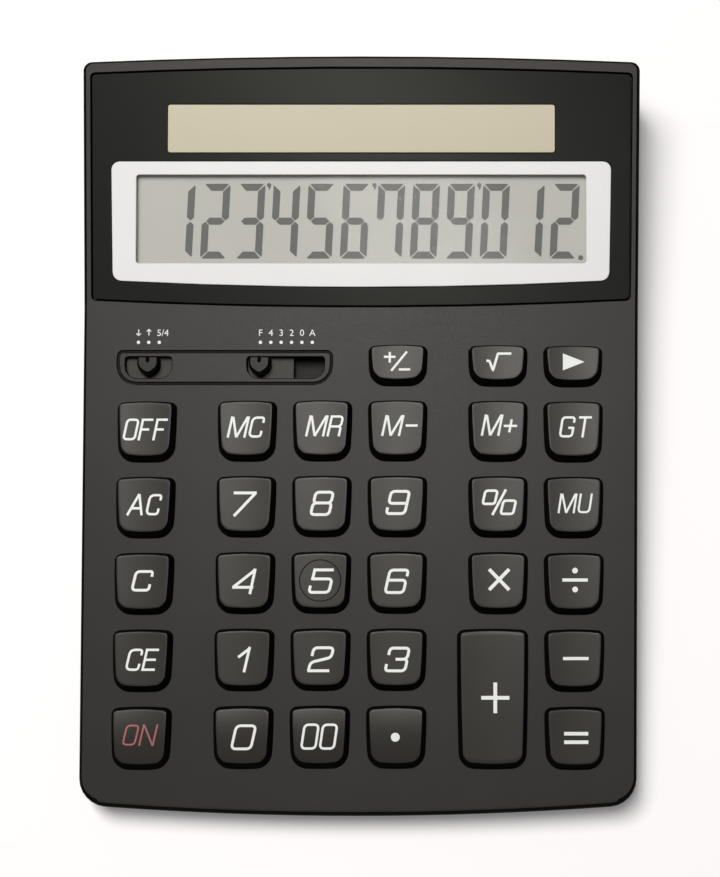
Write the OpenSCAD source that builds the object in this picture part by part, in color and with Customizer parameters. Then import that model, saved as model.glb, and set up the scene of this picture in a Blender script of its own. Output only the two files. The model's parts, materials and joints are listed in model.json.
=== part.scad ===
// Solar desk calculator: a wedge case with a tilted display panel, thirty-two sprung keys
// and two slide switches. Millimetres, +Z up, the front edge faces -Y, the feet stand on z = 0.
// Deck coordinates: u across, v from the front edge to the back, w up from the key deck.
// Panel coordinates: the same from the bend between the deck and the display part.

/* [Case] */
// Width of the case at its back edge
body_w = 155.3; // [146:0.1:170]
// How much narrower the front edge is, at each side
front_taper = 2.3; // [0:0.1:3]
// Length of the key deck, from the front edge to the bend under the display
deck_l = 141.2; // [132:0.2:156]
// Length of the display part, from the bend to the back edge
display_l = 68.2; // [62:0.2:76]
// Height of the deck's front edge above the table
front_h = 13; // [12.6:0.2:18]
// Slope of the key deck in degrees
deck_tilt = 5; // [4:0.5:8]
// Further slope of the display part in degrees
display_tilt = 4; // [2:0.5:6]
// How far the middle of the front edge bulges out
front_bow = 3; // [1:0.5:4]
// How far the middle of the back edge bulges out
back_bow = 1.7; // [0.5:0.1:2.5]
// Radius of the front corners
front_corner_r = 7; // [4:0.5:10]
// Radius of the back corners
back_corner_r = 2.4; // [1.5:0.1:4]
// Thickness of the key deck
deck_t = 2.2; // [1.8:0.1:2.6]
// Thickness of the side walls
wall_t = 2; // [1.6:0.1:2.4]
// Depth of the top case's skirt below the deck
skirt_h = 8; // [7.2:0.1:8.8]
// Step inwards from the top case to the bottom case
seam_step = 0.5; // [0.2:0.1:0.8]
// Thickness of the bottom case's floor
floor_t = 2; // [1.6:0.1:2.2]
// Height of the lip that locates the bottom case in the top case
lip_h = 1.5; // [1:0.1:1.8]
// Thickness of that lip
lip_t = 1.2; // [1:0.1:1.4]

/* [Feet and screws] */
// Height of the base above the table
foot_h = 1.2; // [0.8:0.1:1.6]
// Radius of a rubber foot
foot_r = 5; // [4:0.25:6]
// Depth of the pocket that holds a foot
foot_pocket = 0.8; // [0.5:0.1:1]
// Distance of the feet from the sides of the case
foot_side = 18.65; // [16:0.05:24]
// Distance of the front feet from the front edge
foot_front = 24; // [22:0.5:30]
// Distance of the back feet from the rear end of the base
foot_back = 22.6; // [20:0.1:30]
// Radius of a case screw's shank
screw_r = 1.3; // [1.1:0.05:1.4]
// Radius of a case screw's head
screw_head_r = 2.4; // [2.1:0.1:2.6]
// Height of a case screw's head
screw_head_h = 1.6; // [1.2:0.1:1.8]
// Length of a case screw under its head
screw_l = 6.2; // [5.5:0.1:6.6]
// Wall clamped under each case screw's head
clamp_t = 1.6; // [1.4:0.1:1.8]

/* [Keys] */
// Distance of the outer key holes from the sides, at the front
side_margin = 8.7; // [8:0.05:9.6]
// Distance of the lowest key holes from the front edge
front_margin = 12.84; // [12.4:0.02:15]
// Distance of the short key holes from the bend
bend_margin = 12.86; // [12:0.02:15]
// Space between neighbouring key holes in a row
key_space = 4.7; // [4.2:0.1:5.4]
// Space between key holes on both sides of a column gap
group_space = 11.6; // [10.8:0.1:12.8]
// Space between the rows of key holes
row_space = 4.2; // [3.8:0.02:4.8]
// Depth of a short key's hole
short_d = 11.3; // [10.5:0.1:12.5]
// How much wider the tall key's hole is than the others
tall_extra = 3; // [1:0.1:3.4]
// How far the outermost columns lie in front of the middle ones
row_bow = 0.3; // [0:0.05:0.6]
// Height of the key tops above the deck
key_h = 3.2; // [2.8:0.1:4]
// Gap round a key in its hole
key_gap = 0.3; // [0.25:0.05:0.4]
// Slope of a key's sides: how far the top draws in at each side
key_draw = 0.65; // [0.5:0.05:1]
// How far the top draws in at the front
front_draw = 1.3; // [0.9:0.05:1.6]
// How far the top draws in at the back
back_draw = 0.65; // [0.4:0.05:0.9]
// Travel of a key
key_travel = 1.8; // [1:0.1:2]
// Width of the flange that keeps a key under the deck
flange_w = 0.8; // [0.6:0.05:1]
// Thickness of that flange
flange_t = 1; // [0.8:0.1:1.2]
// Radius of the stem that presses a dome
stem_r = 2.2; // [1.6:0.1:2.6]

/* [Slide switches] */
// Depth of both slots, front to back
slot_d = 6; // [5.6:0.1:6.6]
// Spacing of the switch positions
detent = 2.87; // [2.5:0.01:3.2]
// Height of a knob above the deck
knob_h = 1.4; // [1:0.1:4]
// Width of a knob at the deck
knob_w = 6.6; // [6:0.1:7.4]
// Depth of the groove round the two slots
groove_t = 0.5; // [0.3:0.1:0.8]

/* [Display] */
// Thickness of the display panel
panel_t = 2.4; // [2.2:0.1:2.8]
// Visible gap round the display panel
panel_gap = 0.35; // [0.25:0.05:0.5]
// Width of the case rim beside the panel
rim_side = 2.55; // [2.2:0.05:2.9]
// Width of the case rim behind the panel
rim_back = 3.6; // [3:0.1:4.2]
// How far the middle of the panel's lower edge bulges out
panel_bow = 1.9; // [1:0.1:3]
// Width of the ledge that the panel lies on
ledge_w = 1.6; // [1.3:0.1:1.8]
// Thickness of that ledge
ledge_t = 1.4; // [1.2:0.1:1.6]
// Distance of the white bezel from the panel's sides
bezel_margin = 4.85; // [4.2:0.05:6]
// Distance of the bezel's lower corners from the bend
bezel_low = 5.3; // [5:0.1:6]
// How far the bezel's lower edge bulges out
bezel_bow = 1.8; // [0.5:0.1:2]
// Thickness of the bezel
bezel_t = 1; // [0.8:0.1:1.2]
// How far the bezel stands above the panel
bezel_proud = 0.3; // [0.1:0.05:0.5]
// Width of the bezel beside the display opening
side_border = 7; // [6.4:0.1:8]
// Width of the bezel below the display opening, at its ends
low_border = 4.8; // [4.4:0.1:5.6]
// Width of the bezel above the display opening
top_border = 3.7; // [3.2:0.1:4.2]
// Thickness of the clear display window
lens_t = 0.8; // [0.6:0.1:0.9]
// Thickness of each of the cell's two glass plates
glass_t = 1.1; // [0.7:0.1:1.2]
// Space between the bezel and the solar window
solar_space = 2.4; // [2:0.1:3.2]
// Height of the solar window
solar_d = 13.7; // [11.6:0.1:14.6]
// How much shorter the solar window is than the display opening, at each end
solar_draw = 8.5; // [6:0.1:12]
// Distance of the solar window from the panel's back edge
solar_margin = 8.3; // [7.8:0.1:9.6]
// Thickness of the solar window
solar_t = 1.2; // [0.8:0.1:1.4]

/* [Hidden] */
$fn = 32;

// Fits: sliding gaps, seats and bores
flange_gap = 0.2;
press_gap = 0.4;
dome_gap = 0.1;
bore_gap = 0.06;
through_gap = 0.2;
seat_gap = 0.15;
lip_gap = 0.2;
slide_gap = 0.25;
foot_gap = 0.2;
post_gap = 0.35;
wiper_gap = 0.12;
// How far a cut runs past the face that it opens
over = 1;
// How far two solids of one piece run into each other
join = 0.1;

// Plan of the case
bend_v = deck_l;
back_v = bend_v + display_l * cos(display_tilt);
front_w = body_w - 2 * front_taper;
function half_w(v) = body_w / 2 - front_taper * (1 - v / back_v);

// Levels under the deck, from the key flanges down to the main board
flange_top = -deck_t - flange_gap;
flange_bottom = flange_top - flange_t;
stem_bottom = flange_bottom;
sheet_top = flange_bottom - key_travel - press_gap;
dome_h = stem_bottom - dome_gap - sheet_top;
sheet_t = 1;
board_top = sheet_top - sheet_t;
board_t = 1.6;
board_bottom = board_top - board_t;

// Case screws: seat and bosses, three pairs from the front to the back; the middle pair clears the main board
boss_wall = 1.5;
tube_wall = 2;
boss_space = 0.8;
rib_t = 2.4;
boss_r = screw_r + boss_wall;
tube_r = screw_head_r + tube_wall;
seat_w = -skirt_h - clamp_t;
tip_w = seat_w + screw_l;
pilot_rest = 0.3;
boss_side = 15;
front_boss_u = front_w / 2 - boss_side;
front_boss_v = front_margin - tube_r - boss_space;
board_rim = 2;
board_back = deck_l - bend_margin + board_rim;
mid_boss_v = board_back + boss_space + tube_r;
back_boss_v = back_v - back_bow - seam_step - wall_t - tube_r + boss_space;
rear_boss_u = half_w(mid_boss_v) - wall_t - tube_r - boss_space - lip_t - lip_gap;
BOSSES = [
  [front_boss_u, front_boss_v],
  [rear_boss_u, mid_boss_v],
  [rear_boss_u, back_boss_v]
];

// Rear end of the base, at the base's height; it centres the part on the origin
base_v = back_v - seam_step;
base_w = -(front_h - foot_h + base_v * sin(deck_tilt)) / cos(deck_tilt);
base_l = base_v * cos(deck_tilt) - base_w * sin(deck_tilt);
y_front = -base_l / 2;

// Rubber feet, in table coordinates
foot_x = body_w / 2 - foot_side;
foot_ys = [y_front + foot_front, y_front + base_l - foot_back];

// Key grid: six columns, five square rows and a row of short keys
key_w = (front_w - 2 * side_margin - 3 * key_space - 2 * group_space) / 6;
key_d = (deck_l - front_margin - bend_margin - short_d - 5 * row_space) / 5;
col_pitch = key_w + key_space;
group_pitch = key_w + group_space;
row_pitch = key_d + row_space;
COL_U = [
  -1.5 * col_pitch - group_pitch,
  -1.5 * col_pitch,
  -0.5 * col_pitch,
  0.5 * col_pitch,
  0.5 * col_pitch + group_pitch,
  1.5 * col_pitch + group_pitch
];
function square_v(r) = front_margin + key_d / 2 + (5 - r) * row_pitch;
short_v = deck_l - bend_margin - short_d / 2;
function row_v(r) = r == 0 ? short_v : square_v(r);
function key_v(c, r) = row_v(r) - row_bow * pow(COL_U[c] / COL_U[5], 2);
tall_w = key_w + tall_extra;
tall_d = row_pitch + key_d;
tall_u = COL_U[4] - tall_extra / 2;
tall_v = (key_v(4, 4) + key_v(4, 5)) / 2;
SHORT_KEYS = [[3, 0], [4, 0], [5, 0]];
SQUARE_KEYS = [
  for (r = [1:5])
    for (c = [0:5])
      if (r < 4 || c != 4)
        [c, r]
];
key_bow = 0.4;
key_side_bow = 0.2;
key_taper = 0.6;
key_front_r = 3.7;
key_back_r = 1.6;
key_edge = 0.4;
key_top_t = 1.4;
key_wall = 1.8;

// Main board and membrane, under the key grid
board_inset = 0.4;
board_u = COL_U[5] + key_w / 2;
board_front = front_margin + board_inset;
sheet_rim = 0.5;
post_r = 2.3;
post_screw_r = 1;
post_head_r = 1.9;
post_head_h = 1.3;
post_screw_l = 4.4;
left_post_u = (COL_U[0] + COL_U[1]) / 2;
right_post_u = (COL_U[3] + tall_u + (key_w - tall_w) / 2) / 2;
POSTS = [
  for (u = [left_post_u, right_post_u])
    for (v = [(row_v(5) + row_v(4)) / 2, (row_v(3) + row_v(2)) / 2, row_v(1) + key_d / 2])
      [u, v]
];
dome_r = 4.2;
dome_t = 0.8;

// Slide switches
switch_drop = 0.5;
switch_v = short_v - switch_drop;
slot_end = 0.25;
slot_front_r = 3.3;
slot_back_r = 0.8;
round_slot_w = 2 * detent + knob_w + 2 * slot_end;
decimal_slot_w = 5 * detent + knob_w + 2 * slot_end;
round_u = COL_U[0];
decimal_slot_u = (COL_U[1] + COL_U[2]) / 2;
decimal_u = decimal_slot_u - 2.5 * detent;
groove_rim = 2.2;
groove_line = 0.55;
groove_u = (round_u - round_slot_w / 2 + decimal_slot_u + decimal_slot_w / 2) / 2;
groove_w = decimal_slot_u - round_u + (decimal_slot_w + round_slot_w) / 2 + 2 * groove_rim;
groove_d = slot_d + 2 * groove_rim - 1;
groove_front_r = 5.2;
groove_back_r = 1.6;
slider_rim = 0.8;
round_slider_w = round_slot_w + slider_rim;
decimal_slider_w = decimal_slot_w - 1.1 * detent;
heel_w = 5;
heel_d = 4.4;
heel_drop = 0.9;
wiper_t = 0.3;
wiper_w = 8;
wiper_d = 3;

// Display stack
rim_t = panel_t + ledge_t;
panel_low = 0.2;
panel_top = display_l - rim_back - back_bow;
panel_low_w = 2 * (half_w(bend_v) - rim_side);
panel_top_w = body_w - 2 * rim_side;
panel_low_r = 1.3;
panel_top_r = 1.1;
bezel_taper = 0.6;
bezel_r = 2.3;
bezel_w = panel_low_w - 2 * bezel_margin;
bezel_top = panel_top - solar_margin - solar_d - solar_space;
view_w = bezel_w - 2 * side_border;
view_d = bezel_top - bezel_low - low_border - top_border;
view_v = bezel_low + low_border + view_d / 2;
view_r = 0.8;
lens_top = bezel_proud - bezel_t;
pocket_bottom = lens_top - lens_t;
window_rim = 1;
cell_rim = 2;
cell_w = view_w + 2 * cell_rim;
cell_d = view_d + 3 * cell_rim;
contact_w = 2.2;
back_glass_d = cell_d - 2 * contact_w;
cell_bottom = -panel_t - 2 * glass_t;
zebra_w = 1.5;
zebra_v = (cell_d - contact_w) / 2;
holder_rim = 2;
holder_w = cell_w + 2 * holder_rim;
holder_d = cell_d + 2 * holder_rim;
holder_floor = 1.4;
holder_bottom = cell_bottom - holder_floor;
disp_board_t = 1.2;
disp_board_bottom = holder_bottom - disp_board_t;
disp_post_r = 2;
disp_post_u = holder_w / 2 + post_gap + disp_post_r;
disp_board_u = disp_post_u + disp_post_r;
disp_board_low = view_v - holder_d / 2 + sheet_rim;
solar_w = view_w - 2 * solar_draw;
solar_v = bezel_top + solar_space + solar_d / 2;
solar_r = 0.7;
solar_seat = 1;
solar_cell_drop = 0.3;
disp_board_top = solar_v + solar_d / 2;
disp_screw_l = 3.4;
DISP_POSTS = [
  for (u = [-disp_post_u, disp_post_u])
    for (v = [disp_board_low + 2 * disp_post_r, disp_board_top - 2 * disp_post_r])
      [u, v]
];
lead_r = 0.4;
lead_u = solar_w / 2 - 5 * lead_r;
clip_w = 6;
clip_t = 1;
clip_hook = 0.8;
clip_u = panel_low_w / 3;
chip_u = 18;
chip_r = 7;
chip_h = 1.75;
can_u = -24;
can_r = 2.5;
can_l = 9;
ribbon_u = 6;
ribbon_w = 40;
ribbon_t = 0.3;
ribbon_pad = 4;
ribbon_gap = 0.02;

// Outlines: four corners counter-clockwise from the front left one, edges bowed outwards,
// corners rounded; the lists run front, right, back, left for edges and from the front left for corners
function quad(w_front, w_back, v0, v1, d = 0) = [
  [-w_front / 2 + d, v0 + d],
  [w_front / 2 - d, v0 + d],
  [w_back / 2 - d, v1 - d],
  [-w_back / 2 + d, v1 - d]
];
function outward(a, b) = [b[1] - a[1], a[0] - b[0]] / norm(b - a);
function on_edge(a, b, bow, t) = a + (b - a) * t + outward(a, b) * 4 * bow * t * (1 - t);
function arc_step(p, c, q, t) =
  let (h1 = p + (c - p) * 0.552, h2 = q + (c - q) * 0.552)
    p * pow(1 - t, 3) + 3 * h1 * t * pow(1 - t, 2) + 3 * h2 * t * t * (1 - t) + q * t * t * t;
function edge_start(q, r, i) = r[i] / norm(q[(i + 1) % 4] - q[i]);
function edge_end(q, r, i) = 1 - r[(i + 1) % 4] / norm(q[(i + 1) % 4] - q[i]);
function edge_at(q, bow, i, t) = on_edge(q[i], q[(i + 1) % 4], bow[i], t);
function edge_t(q, r, i, n, k) = edge_start(q, r, i) + (edge_end(q, r, i) - edge_start(q, r, i)) * k / n;
function outline(q, bow, r, n = 8, m = 4) = [
  for (i = [0:3])
    let (j = (i + 1) % 4, steps = bow[i] == 0 ? 1 : n)
      each concat(
        [for (k = [0:steps]) edge_at(q, bow, i, edge_t(q, r, i, steps, k))],
        [
          for (k = [1:m - 1])
            arc_step(
              edge_at(q, bow, i, edge_end(q, r, i)),
              q[j],
              edge_at(q, bow, j, edge_start(q, r, j)),
              k / m
            )
        ]
      )
];

function case_plan(d) = outline(
  quad(front_w, body_w, front_bow, back_v - back_bow, d),
  [front_bow, 0, back_bow, 0],
  [front_corner_r - d / 2, front_corner_r - d / 2, back_corner_r - d / 4, back_corner_r - d / 4],
  16,
  6
);
function panel_plan(d) = outline(
  quad(panel_low_w, panel_top_w, panel_low, panel_top, d),
  [panel_bow, 0, back_bow, 0],
  [panel_low_r, panel_low_r, panel_top_r, panel_top_r],
  16,
  4
);
function bezel_plan(d) = outline(
  quad(bezel_w - 2 * bezel_taper, bezel_w, bezel_low, bezel_top, d),
  [bezel_bow, 0, 0, 0],
  [bezel_r, bezel_r, bezel_r, bezel_r],
  12,
  4
);
function key_outline(w, d0, d1, inset, n = 3, m = 3) = outline(
  quad(w - 2 * key_taper, w, d0 + key_bow, d1 - key_bow, inset),
  [key_bow, key_side_bow, key_bow, key_side_bow],
  [key_front_r, key_front_r, key_back_r, key_back_r],
  n,
  m
);
function key_plan(w, d, inset) = key_outline(w, -d / 2, d / 2, inset);
function hole_plan(w, d) = key_outline(w, -d / 2, d / 2, 0, 6, 6);
function key_top_plan(w, d, inset) = key_outline(
  w - 2 * (key_gap + key_draw),
  -d / 2 + key_gap + front_draw,
  d / 2 - key_gap - back_draw,
  inset
);
function slot_plan(w, d, r_front, r_back) = outline(
  quad(w, w, -d / 2, d / 2),
  [0, 0, 0, 0],
  [r_front, r_front, r_back, r_back]
);
function rect(w, d) = [[-w / 2, -d / 2], [w / 2, -d / 2], [w / 2, d / 2], [-w / 2, d / 2]];

// Frames and basic solids
module deck_frame() {
  translate([0, y_front, front_h])
    rotate([deck_tilt, 0, 0])
      children();
}

module bend_frame() {
  translate([0, bend_v, 0])
    rotate([display_tilt, 0, 0])
      children();
}

module panel_frame() {
  deck_frame()
    bend_frame()
      children();
}

module plate(points, w0, w1) {
  translate([0, 0, w0])
    linear_extrude(w1 - w0)
      polygon(points);
}

// A solid of constant side view: the points are pairs of v and w
module side_prism(points, width) {
  rotate([90, 0, 90])
    translate([0, 0, -width / 2])
      linear_extrude(width)
        polygon(points);
}

module rod(u, v, w0, w1, r) {
  translate([u, v, w0])
    cylinder(h = w1 - w0, r = r);
}

// A pan-head screw with a cross recess: head below w0, shank above it
module pan_screw(w0, r, l, head_r, head_h) {
  difference() {
    union() {
      rod(0, 0, w0 - head_h, w0, head_r);
      rod(0, 0, w0 - join, w0 + l, r);
    }
    for (a = [0, 90])
      rotate([0, 0, a])
        plate(rect(head_r * 1.3, head_r * 0.24), w0 - head_h - over, w0 - head_h * 0.55);
  }
}

// Top case
module top_shell() {
  slope = tan(display_tilt);
  far_v = back_v + body_w;
  near_v = -body_w;
  low_w = -skirt_h - body_w;
  step_v = bend_v - panel_bow - panel_gap - wall_t;
  drop = rim_t / cos(display_tilt);
  difference() {
    intersection() {
      plate(case_plan(0), -skirt_h, display_l);
      side_prism(
        [[near_v, low_w], [far_v, low_w], [far_v, (far_v - bend_v) * slope], [bend_v, 0], [near_v, 0]],
        2 * body_w
      );
    }
    intersection() {
      plate(case_plan(wall_t), -skirt_h - over, display_l);
      side_prism(
        [
          [near_v, low_w],
          [far_v, low_w],
          [far_v, (far_v - bend_v) * slope - drop],
          [step_v, (step_v - bend_v) * slope - drop],
          [step_v, -deck_t],
          [near_v, -deck_t]
        ],
        2 * body_w
      );
    }
    bend_frame() {
      plate(panel_plan(-panel_gap), -panel_t, display_l);
      plate(panel_plan(ledge_w), -rim_t - over, 0);
    }
  }
}

module top_bosses() {
  for (side = [-1, 1]) {
    rod(side * front_boss_u, front_boss_v, -skirt_h, -deck_t + join, boss_r);
    rod(side * rear_boss_u, mid_boss_v, -skirt_h, -deck_t + join, boss_r);
    rod(side * rear_boss_u, back_boss_v, -skirt_h, tip_w + boss_wall, boss_r);
    translate([side * rear_boss_u - rib_t / 2, back_boss_v, -skirt_h])
      cube([rib_t, back_v - back_bow - wall_t / 2 - back_boss_v, tip_w + boss_wall + skirt_h]);
  }
  for (p = POSTS)
    rod(p[0], p[1], board_top, -deck_t + join, post_r);
}

module top_bores() {
  for (side = [-1, 1])
    for (b = BOSSES)
      rod(side * b[0], b[1], -skirt_h - over, tip_w + pilot_rest, screw_r + bore_gap);
  for (p = POSTS)
    rod(p[0], p[1], board_top - over, board_bottom + post_screw_l + pilot_rest, post_screw_r + bore_gap);
}

module key_holes() {
  translate([0, 0, -deck_t - over])
    linear_extrude(deck_t + 2 * over) {
      for (k = SQUARE_KEYS)
        translate([COL_U[k[0]], key_v(k[0], k[1])])
          polygon(hole_plan(key_w, key_d));
      for (k = SHORT_KEYS)
        translate([COL_U[k[0]], key_v(k[0], k[1])])
          polygon(hole_plan(key_w, short_d));
      translate([tall_u, tall_v])
        polygon(hole_plan(tall_w, tall_d));
    }
}

module switch_slot(u, w) {
  translate([u, switch_v, 0])
    plate(slot_plan(w, slot_d, slot_front_r, slot_back_r), -deck_t - over, over);
}

module switch_groove() {
  inner_w = groove_w - 2 * groove_line;
  inner_d = groove_d - 2 * groove_line;
  translate([groove_u, switch_v, 0])
    difference() {
      plate(slot_plan(groove_w, groove_d, groove_front_r, groove_back_r), -groove_t, over);
      plate(
        slot_plan(inner_w, inner_d, groove_front_r - groove_line, groove_back_r - groove_line),
        -groove_t - over,
        2 * over
      );
    }
}

module top_case() {
  color([0.28, 0.27, 0.26])
    deck_frame()
      difference() {
        union() {
          top_shell();
          top_bosses();
        }
        top_bores();
        key_holes();
        switch_slot(round_u, round_slot_w);
        switch_slot(decimal_slot_u, decimal_slot_w);
        switch_groove();
      }
}

// Bottom case
module above(z) {
  translate([-body_w, -base_l, z])
    cube([2 * body_w, 2 * base_l, body_w]);
}

module bottom_tray() {
  difference() {
    intersection() {
      deck_frame()
        plate(case_plan(seam_step), -body_w, -skirt_h);
      above(foot_h);
    }
    intersection() {
      deck_frame()
        plate(case_plan(seam_step + wall_t), -body_w, over);
      above(foot_h + floor_t);
    }
  }
}

module lip() {
  deck_frame()
    difference() {
      plate(case_plan(wall_t + lip_gap), -skirt_h - lip_h, -skirt_h + lip_h);
      plate(case_plan(wall_t + lip_gap + lip_t), -skirt_h - lip_h - over, -skirt_h + lip_h + over);
      for (side = [-1, 1])
        for (b = BOSSES)
          rod(side * b[0], b[1], -skirt_h, -skirt_h + lip_h + over, 2 * boss_r);
    }
}

module bottom_tubes() {
  intersection() {
    deck_frame()
      for (side = [-1, 1])
        for (b = BOSSES)
          rod(side * b[0], b[1], -body_w, -skirt_h, tube_r);
    above(foot_h);
  }
}

module bottom_bores() {
  deck_frame()
    for (side = [-1, 1])
      for (b = BOSSES) {
        rod(side * b[0], b[1], seat_w - over, -skirt_h + over, screw_r + bore_gap + through_gap);
        rod(side * b[0], b[1], -body_w, seat_w, screw_head_r + 2 * through_gap);
      }
  for (side = [-1, 1])
    for (y = foot_ys)
      rod(side * foot_x, y, foot_h - over, foot_h + foot_pocket, foot_r + foot_gap);
}

module bottom_case() {
  color([0.2, 0.2, 0.2])
    difference() {
      union() {
        bottom_tray();
        lip();
        bottom_tubes();
      }
      bottom_bores();
    }
}

module rubber_feet() {
  color([0.12, 0.12, 0.12])
    for (side = [-1, 1])
      for (y = foot_ys)
        rod(side * foot_x, y, 0, foot_h + foot_pocket, foot_r);
}

module case_screws() {
  color([0.7, 0.7, 0.72])
    deck_frame()
      for (side = [-1, 1])
        for (b = BOSSES)
          translate([side * b[0], b[1], 0])
            pan_screw(seat_w, screw_r, screw_l, screw_head_r, screw_head_h);
}

// Display stack
// One snap clip: a leg down past the ledge and a hook under it, towards +v or -v
module panel_clip(u, edge_v, way) {
  hook_top = -rim_t - seat_gap;
  translate([u, edge_v - way * clip_t / 2, 0])
    plate(rect(clip_w, clip_t), hook_top - clip_hook, -panel_t + join);
  translate([u, edge_v - way * (clip_t - clip_hook) / 2, 0])
    plate(rect(clip_w, clip_t + clip_hook), hook_top - clip_hook, hook_top);
}

module panel_clips() {
  for (u = [-clip_u, 0, clip_u]) {
    lean_top = back_bow * (1 - pow((abs(u) + clip_w / 2) / (panel_top_w / 2), 2));
    lean_low = panel_bow * (1 - pow((abs(u) + clip_w / 2) / (panel_low_w / 2), 2));
    panel_clip(u, panel_top - ledge_w + lean_top - slide_gap, 1);
    panel_clip(u, panel_low + ledge_w - lean_low + slide_gap, -1);
  }
}

module display_panel() {
  color([0.23, 0.23, 0.22])
    panel_frame()
      difference() {
        union() {
          plate(panel_plan(0), -panel_t, 0);
          panel_clips();
          for (p = DISP_POSTS)
            rod(p[0], p[1], holder_bottom, -panel_t + join, disp_post_r);
        }
        plate(bezel_plan(-seat_gap), pocket_bottom, over);
        translate([0, view_v, 0])
          plate(rect(view_w + 2 * window_rim, view_d + 2 * window_rim), -panel_t - over, over);
        translate([0, solar_v, 0]) {
          plate(slot_plan(solar_w, solar_d, solar_r, solar_r), -solar_t, over);
          plate(rect(solar_w - 2 * solar_seat, solar_d - 2 * solar_seat), -panel_t - over, over);
        }
        for (p = DISP_POSTS)
          rod(
            p[0],
            p[1],
            holder_bottom - over,
            disp_board_bottom + disp_screw_l + pilot_rest,
            post_screw_r + bore_gap
          );
      }
}

module lcd_bezel() {
  color([0.93, 0.93, 0.92])
    panel_frame()
      difference() {
        plate(bezel_plan(0), lens_top, bezel_proud);
        translate([0, view_v, 0])
          plate(slot_plan(view_w, view_d, view_r, view_r), lens_top - over, bezel_proud + over);
      }
}

module lcd_window() {
  color([0.9, 0.92, 0.9, 0.3])
    panel_frame()
      plate(bezel_plan(seat_gap), pocket_bottom, lens_top);
}

module lcd_cell() {
  color([0.75, 0.73, 0.7])
    panel_frame()
      translate([0, view_v, 0]) {
        plate(rect(cell_w, cell_d), -panel_t - glass_t, -panel_t);
        plate(rect(cell_w, back_glass_d), cell_bottom, -panel_t - glass_t + join);
      }
}

module zebra_strips() {
  color([0.35, 0.32, 0.32])
    panel_frame()
      for (side = [-1, 1])
        translate([0, view_v + side * zebra_v, 0])
          plate(rect(view_w, zebra_w), holder_bottom, -panel_t - glass_t);
}

module lcd_holder() {
  fit = 2 * seat_gap;
  color([0.85, 0.85, 0.83])
    panel_frame()
      translate([0, view_v, 0])
        difference() {
          plate(rect(holder_w, holder_d), holder_bottom, -panel_t);
          plate(rect(cell_w + fit, cell_d + fit), -panel_t - glass_t, over);
          plate(rect(cell_w + fit, back_glass_d + fit), cell_bottom, over);
          plate(
            rect(view_w - 4 * holder_rim, back_glass_d - 4 * holder_rim),
            holder_bottom - over,
            over
          );
          for (side = [-1, 1])
            translate([0, side * zebra_v, 0])
              plate(rect(view_w + fit, zebra_w + fit), holder_bottom - over, over);
        }
}

module display_board() {
  color([0.16, 0.36, 0.2])
    panel_frame()
      difference() {
        translate([0, (disp_board_low + disp_board_top) / 2, 0])
          plate(
            rect(2 * disp_board_u, disp_board_top - disp_board_low),
            disp_board_bottom,
            holder_bottom
          );
        for (p = DISP_POSTS)
          rod(
            p[0],
            p[1],
            disp_board_bottom - over,
            holder_bottom + over,
            post_screw_r + bore_gap + through_gap
          );
      }
}

module display_screws() {
  color([0.7, 0.7, 0.72])
    panel_frame()
      for (p = DISP_POSTS)
        translate([p[0], p[1], 0])
          pan_screw(disp_board_bottom, post_screw_r, disp_screw_l, post_head_r, post_head_h);
}

module controller_chip() {
  color([0.1, 0.1, 0.1])
    panel_frame()
      translate([chip_u, view_v, disp_board_bottom])
        rotate([180, 0, 0])
          rotate_extrude($fn = 40)
            polygon(
              [
                [0, 0],
                [chip_r, 0],
                [chip_r * 0.92, chip_h * 0.4],
                [chip_r * 0.68, chip_h * 0.75],
                [chip_r * 0.36, chip_h * 0.94],
                [0, chip_h]
              ]
            );
}

module buffer_capacitor() {
  color([0.2, 0.22, 0.4])
    panel_frame()
      translate([can_u, view_v, disp_board_bottom - can_r])
        rotate([0, 90, 0])
          cylinder(h = can_l, r = can_r);
}

module solar_window() {
  fit = 2 * seat_gap;
  color([0.81, 0.78, 0.68])
    panel_frame()
      translate([0, solar_v, 0])
        plate(slot_plan(solar_w - fit, solar_d - fit, solar_r, solar_r), -solar_t, 0);
}

module solar_cell() {
  fit = 2 * (solar_seat + seat_gap);
  color([0.25, 0.15, 0.15])
    panel_frame()
      translate([0, solar_v, 0])
        plate(rect(solar_w - fit, solar_d - fit), -panel_t - solar_cell_drop, -solar_t);
}

module solar_leads() {
  color([0.7, 0.2, 0.15])
    panel_frame()
      for (side = [-1, 1])
        rod(side * lead_u, solar_v, holder_bottom, -panel_t - solar_cell_drop, lead_r);
}

module display_ribbon() {
  slope = tan(display_tilt);
  drop = disp_board_bottom / cos(display_tilt) - ribbon_gap;
  v_top = bend_v + disp_board_low * cos(display_tilt) + ribbon_pad / 2;
  v_end = v_top + ribbon_pad;
  w_top = (v_top - bend_v) * slope + drop;
  w_end = (v_end - bend_v) * slope + drop;
  v_low = board_back + ribbon_pad / 4;
  w_low = board_bottom - ribbon_gap;
  color([0.75, 0.5, 0.2])
    deck_frame()
      translate([ribbon_u, 0, 0])
        side_prism(
          [
            [v_end, w_end],
            [v_top, w_top],
            [v_low, w_low],
            [v_low - ribbon_pad, w_low],
            [v_low - ribbon_pad, w_low - ribbon_t],
            [v_low, w_low - ribbon_t],
            [v_top, w_top - ribbon_t],
            [v_end, w_end - ribbon_t]
          ],
          ribbon_w
        );
}

// Keyboard
module main_board() {
  color([0.16, 0.36, 0.2])
    deck_frame()
      difference() {
        translate([0, (board_front + board_back) / 2, 0])
          plate(rect(2 * board_u, board_back - board_front), board_bottom, board_top);
        for (p = POSTS)
          rod(p[0], p[1], board_bottom - over, board_top + over, post_screw_r + bore_gap + through_gap);
      }
}

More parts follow.
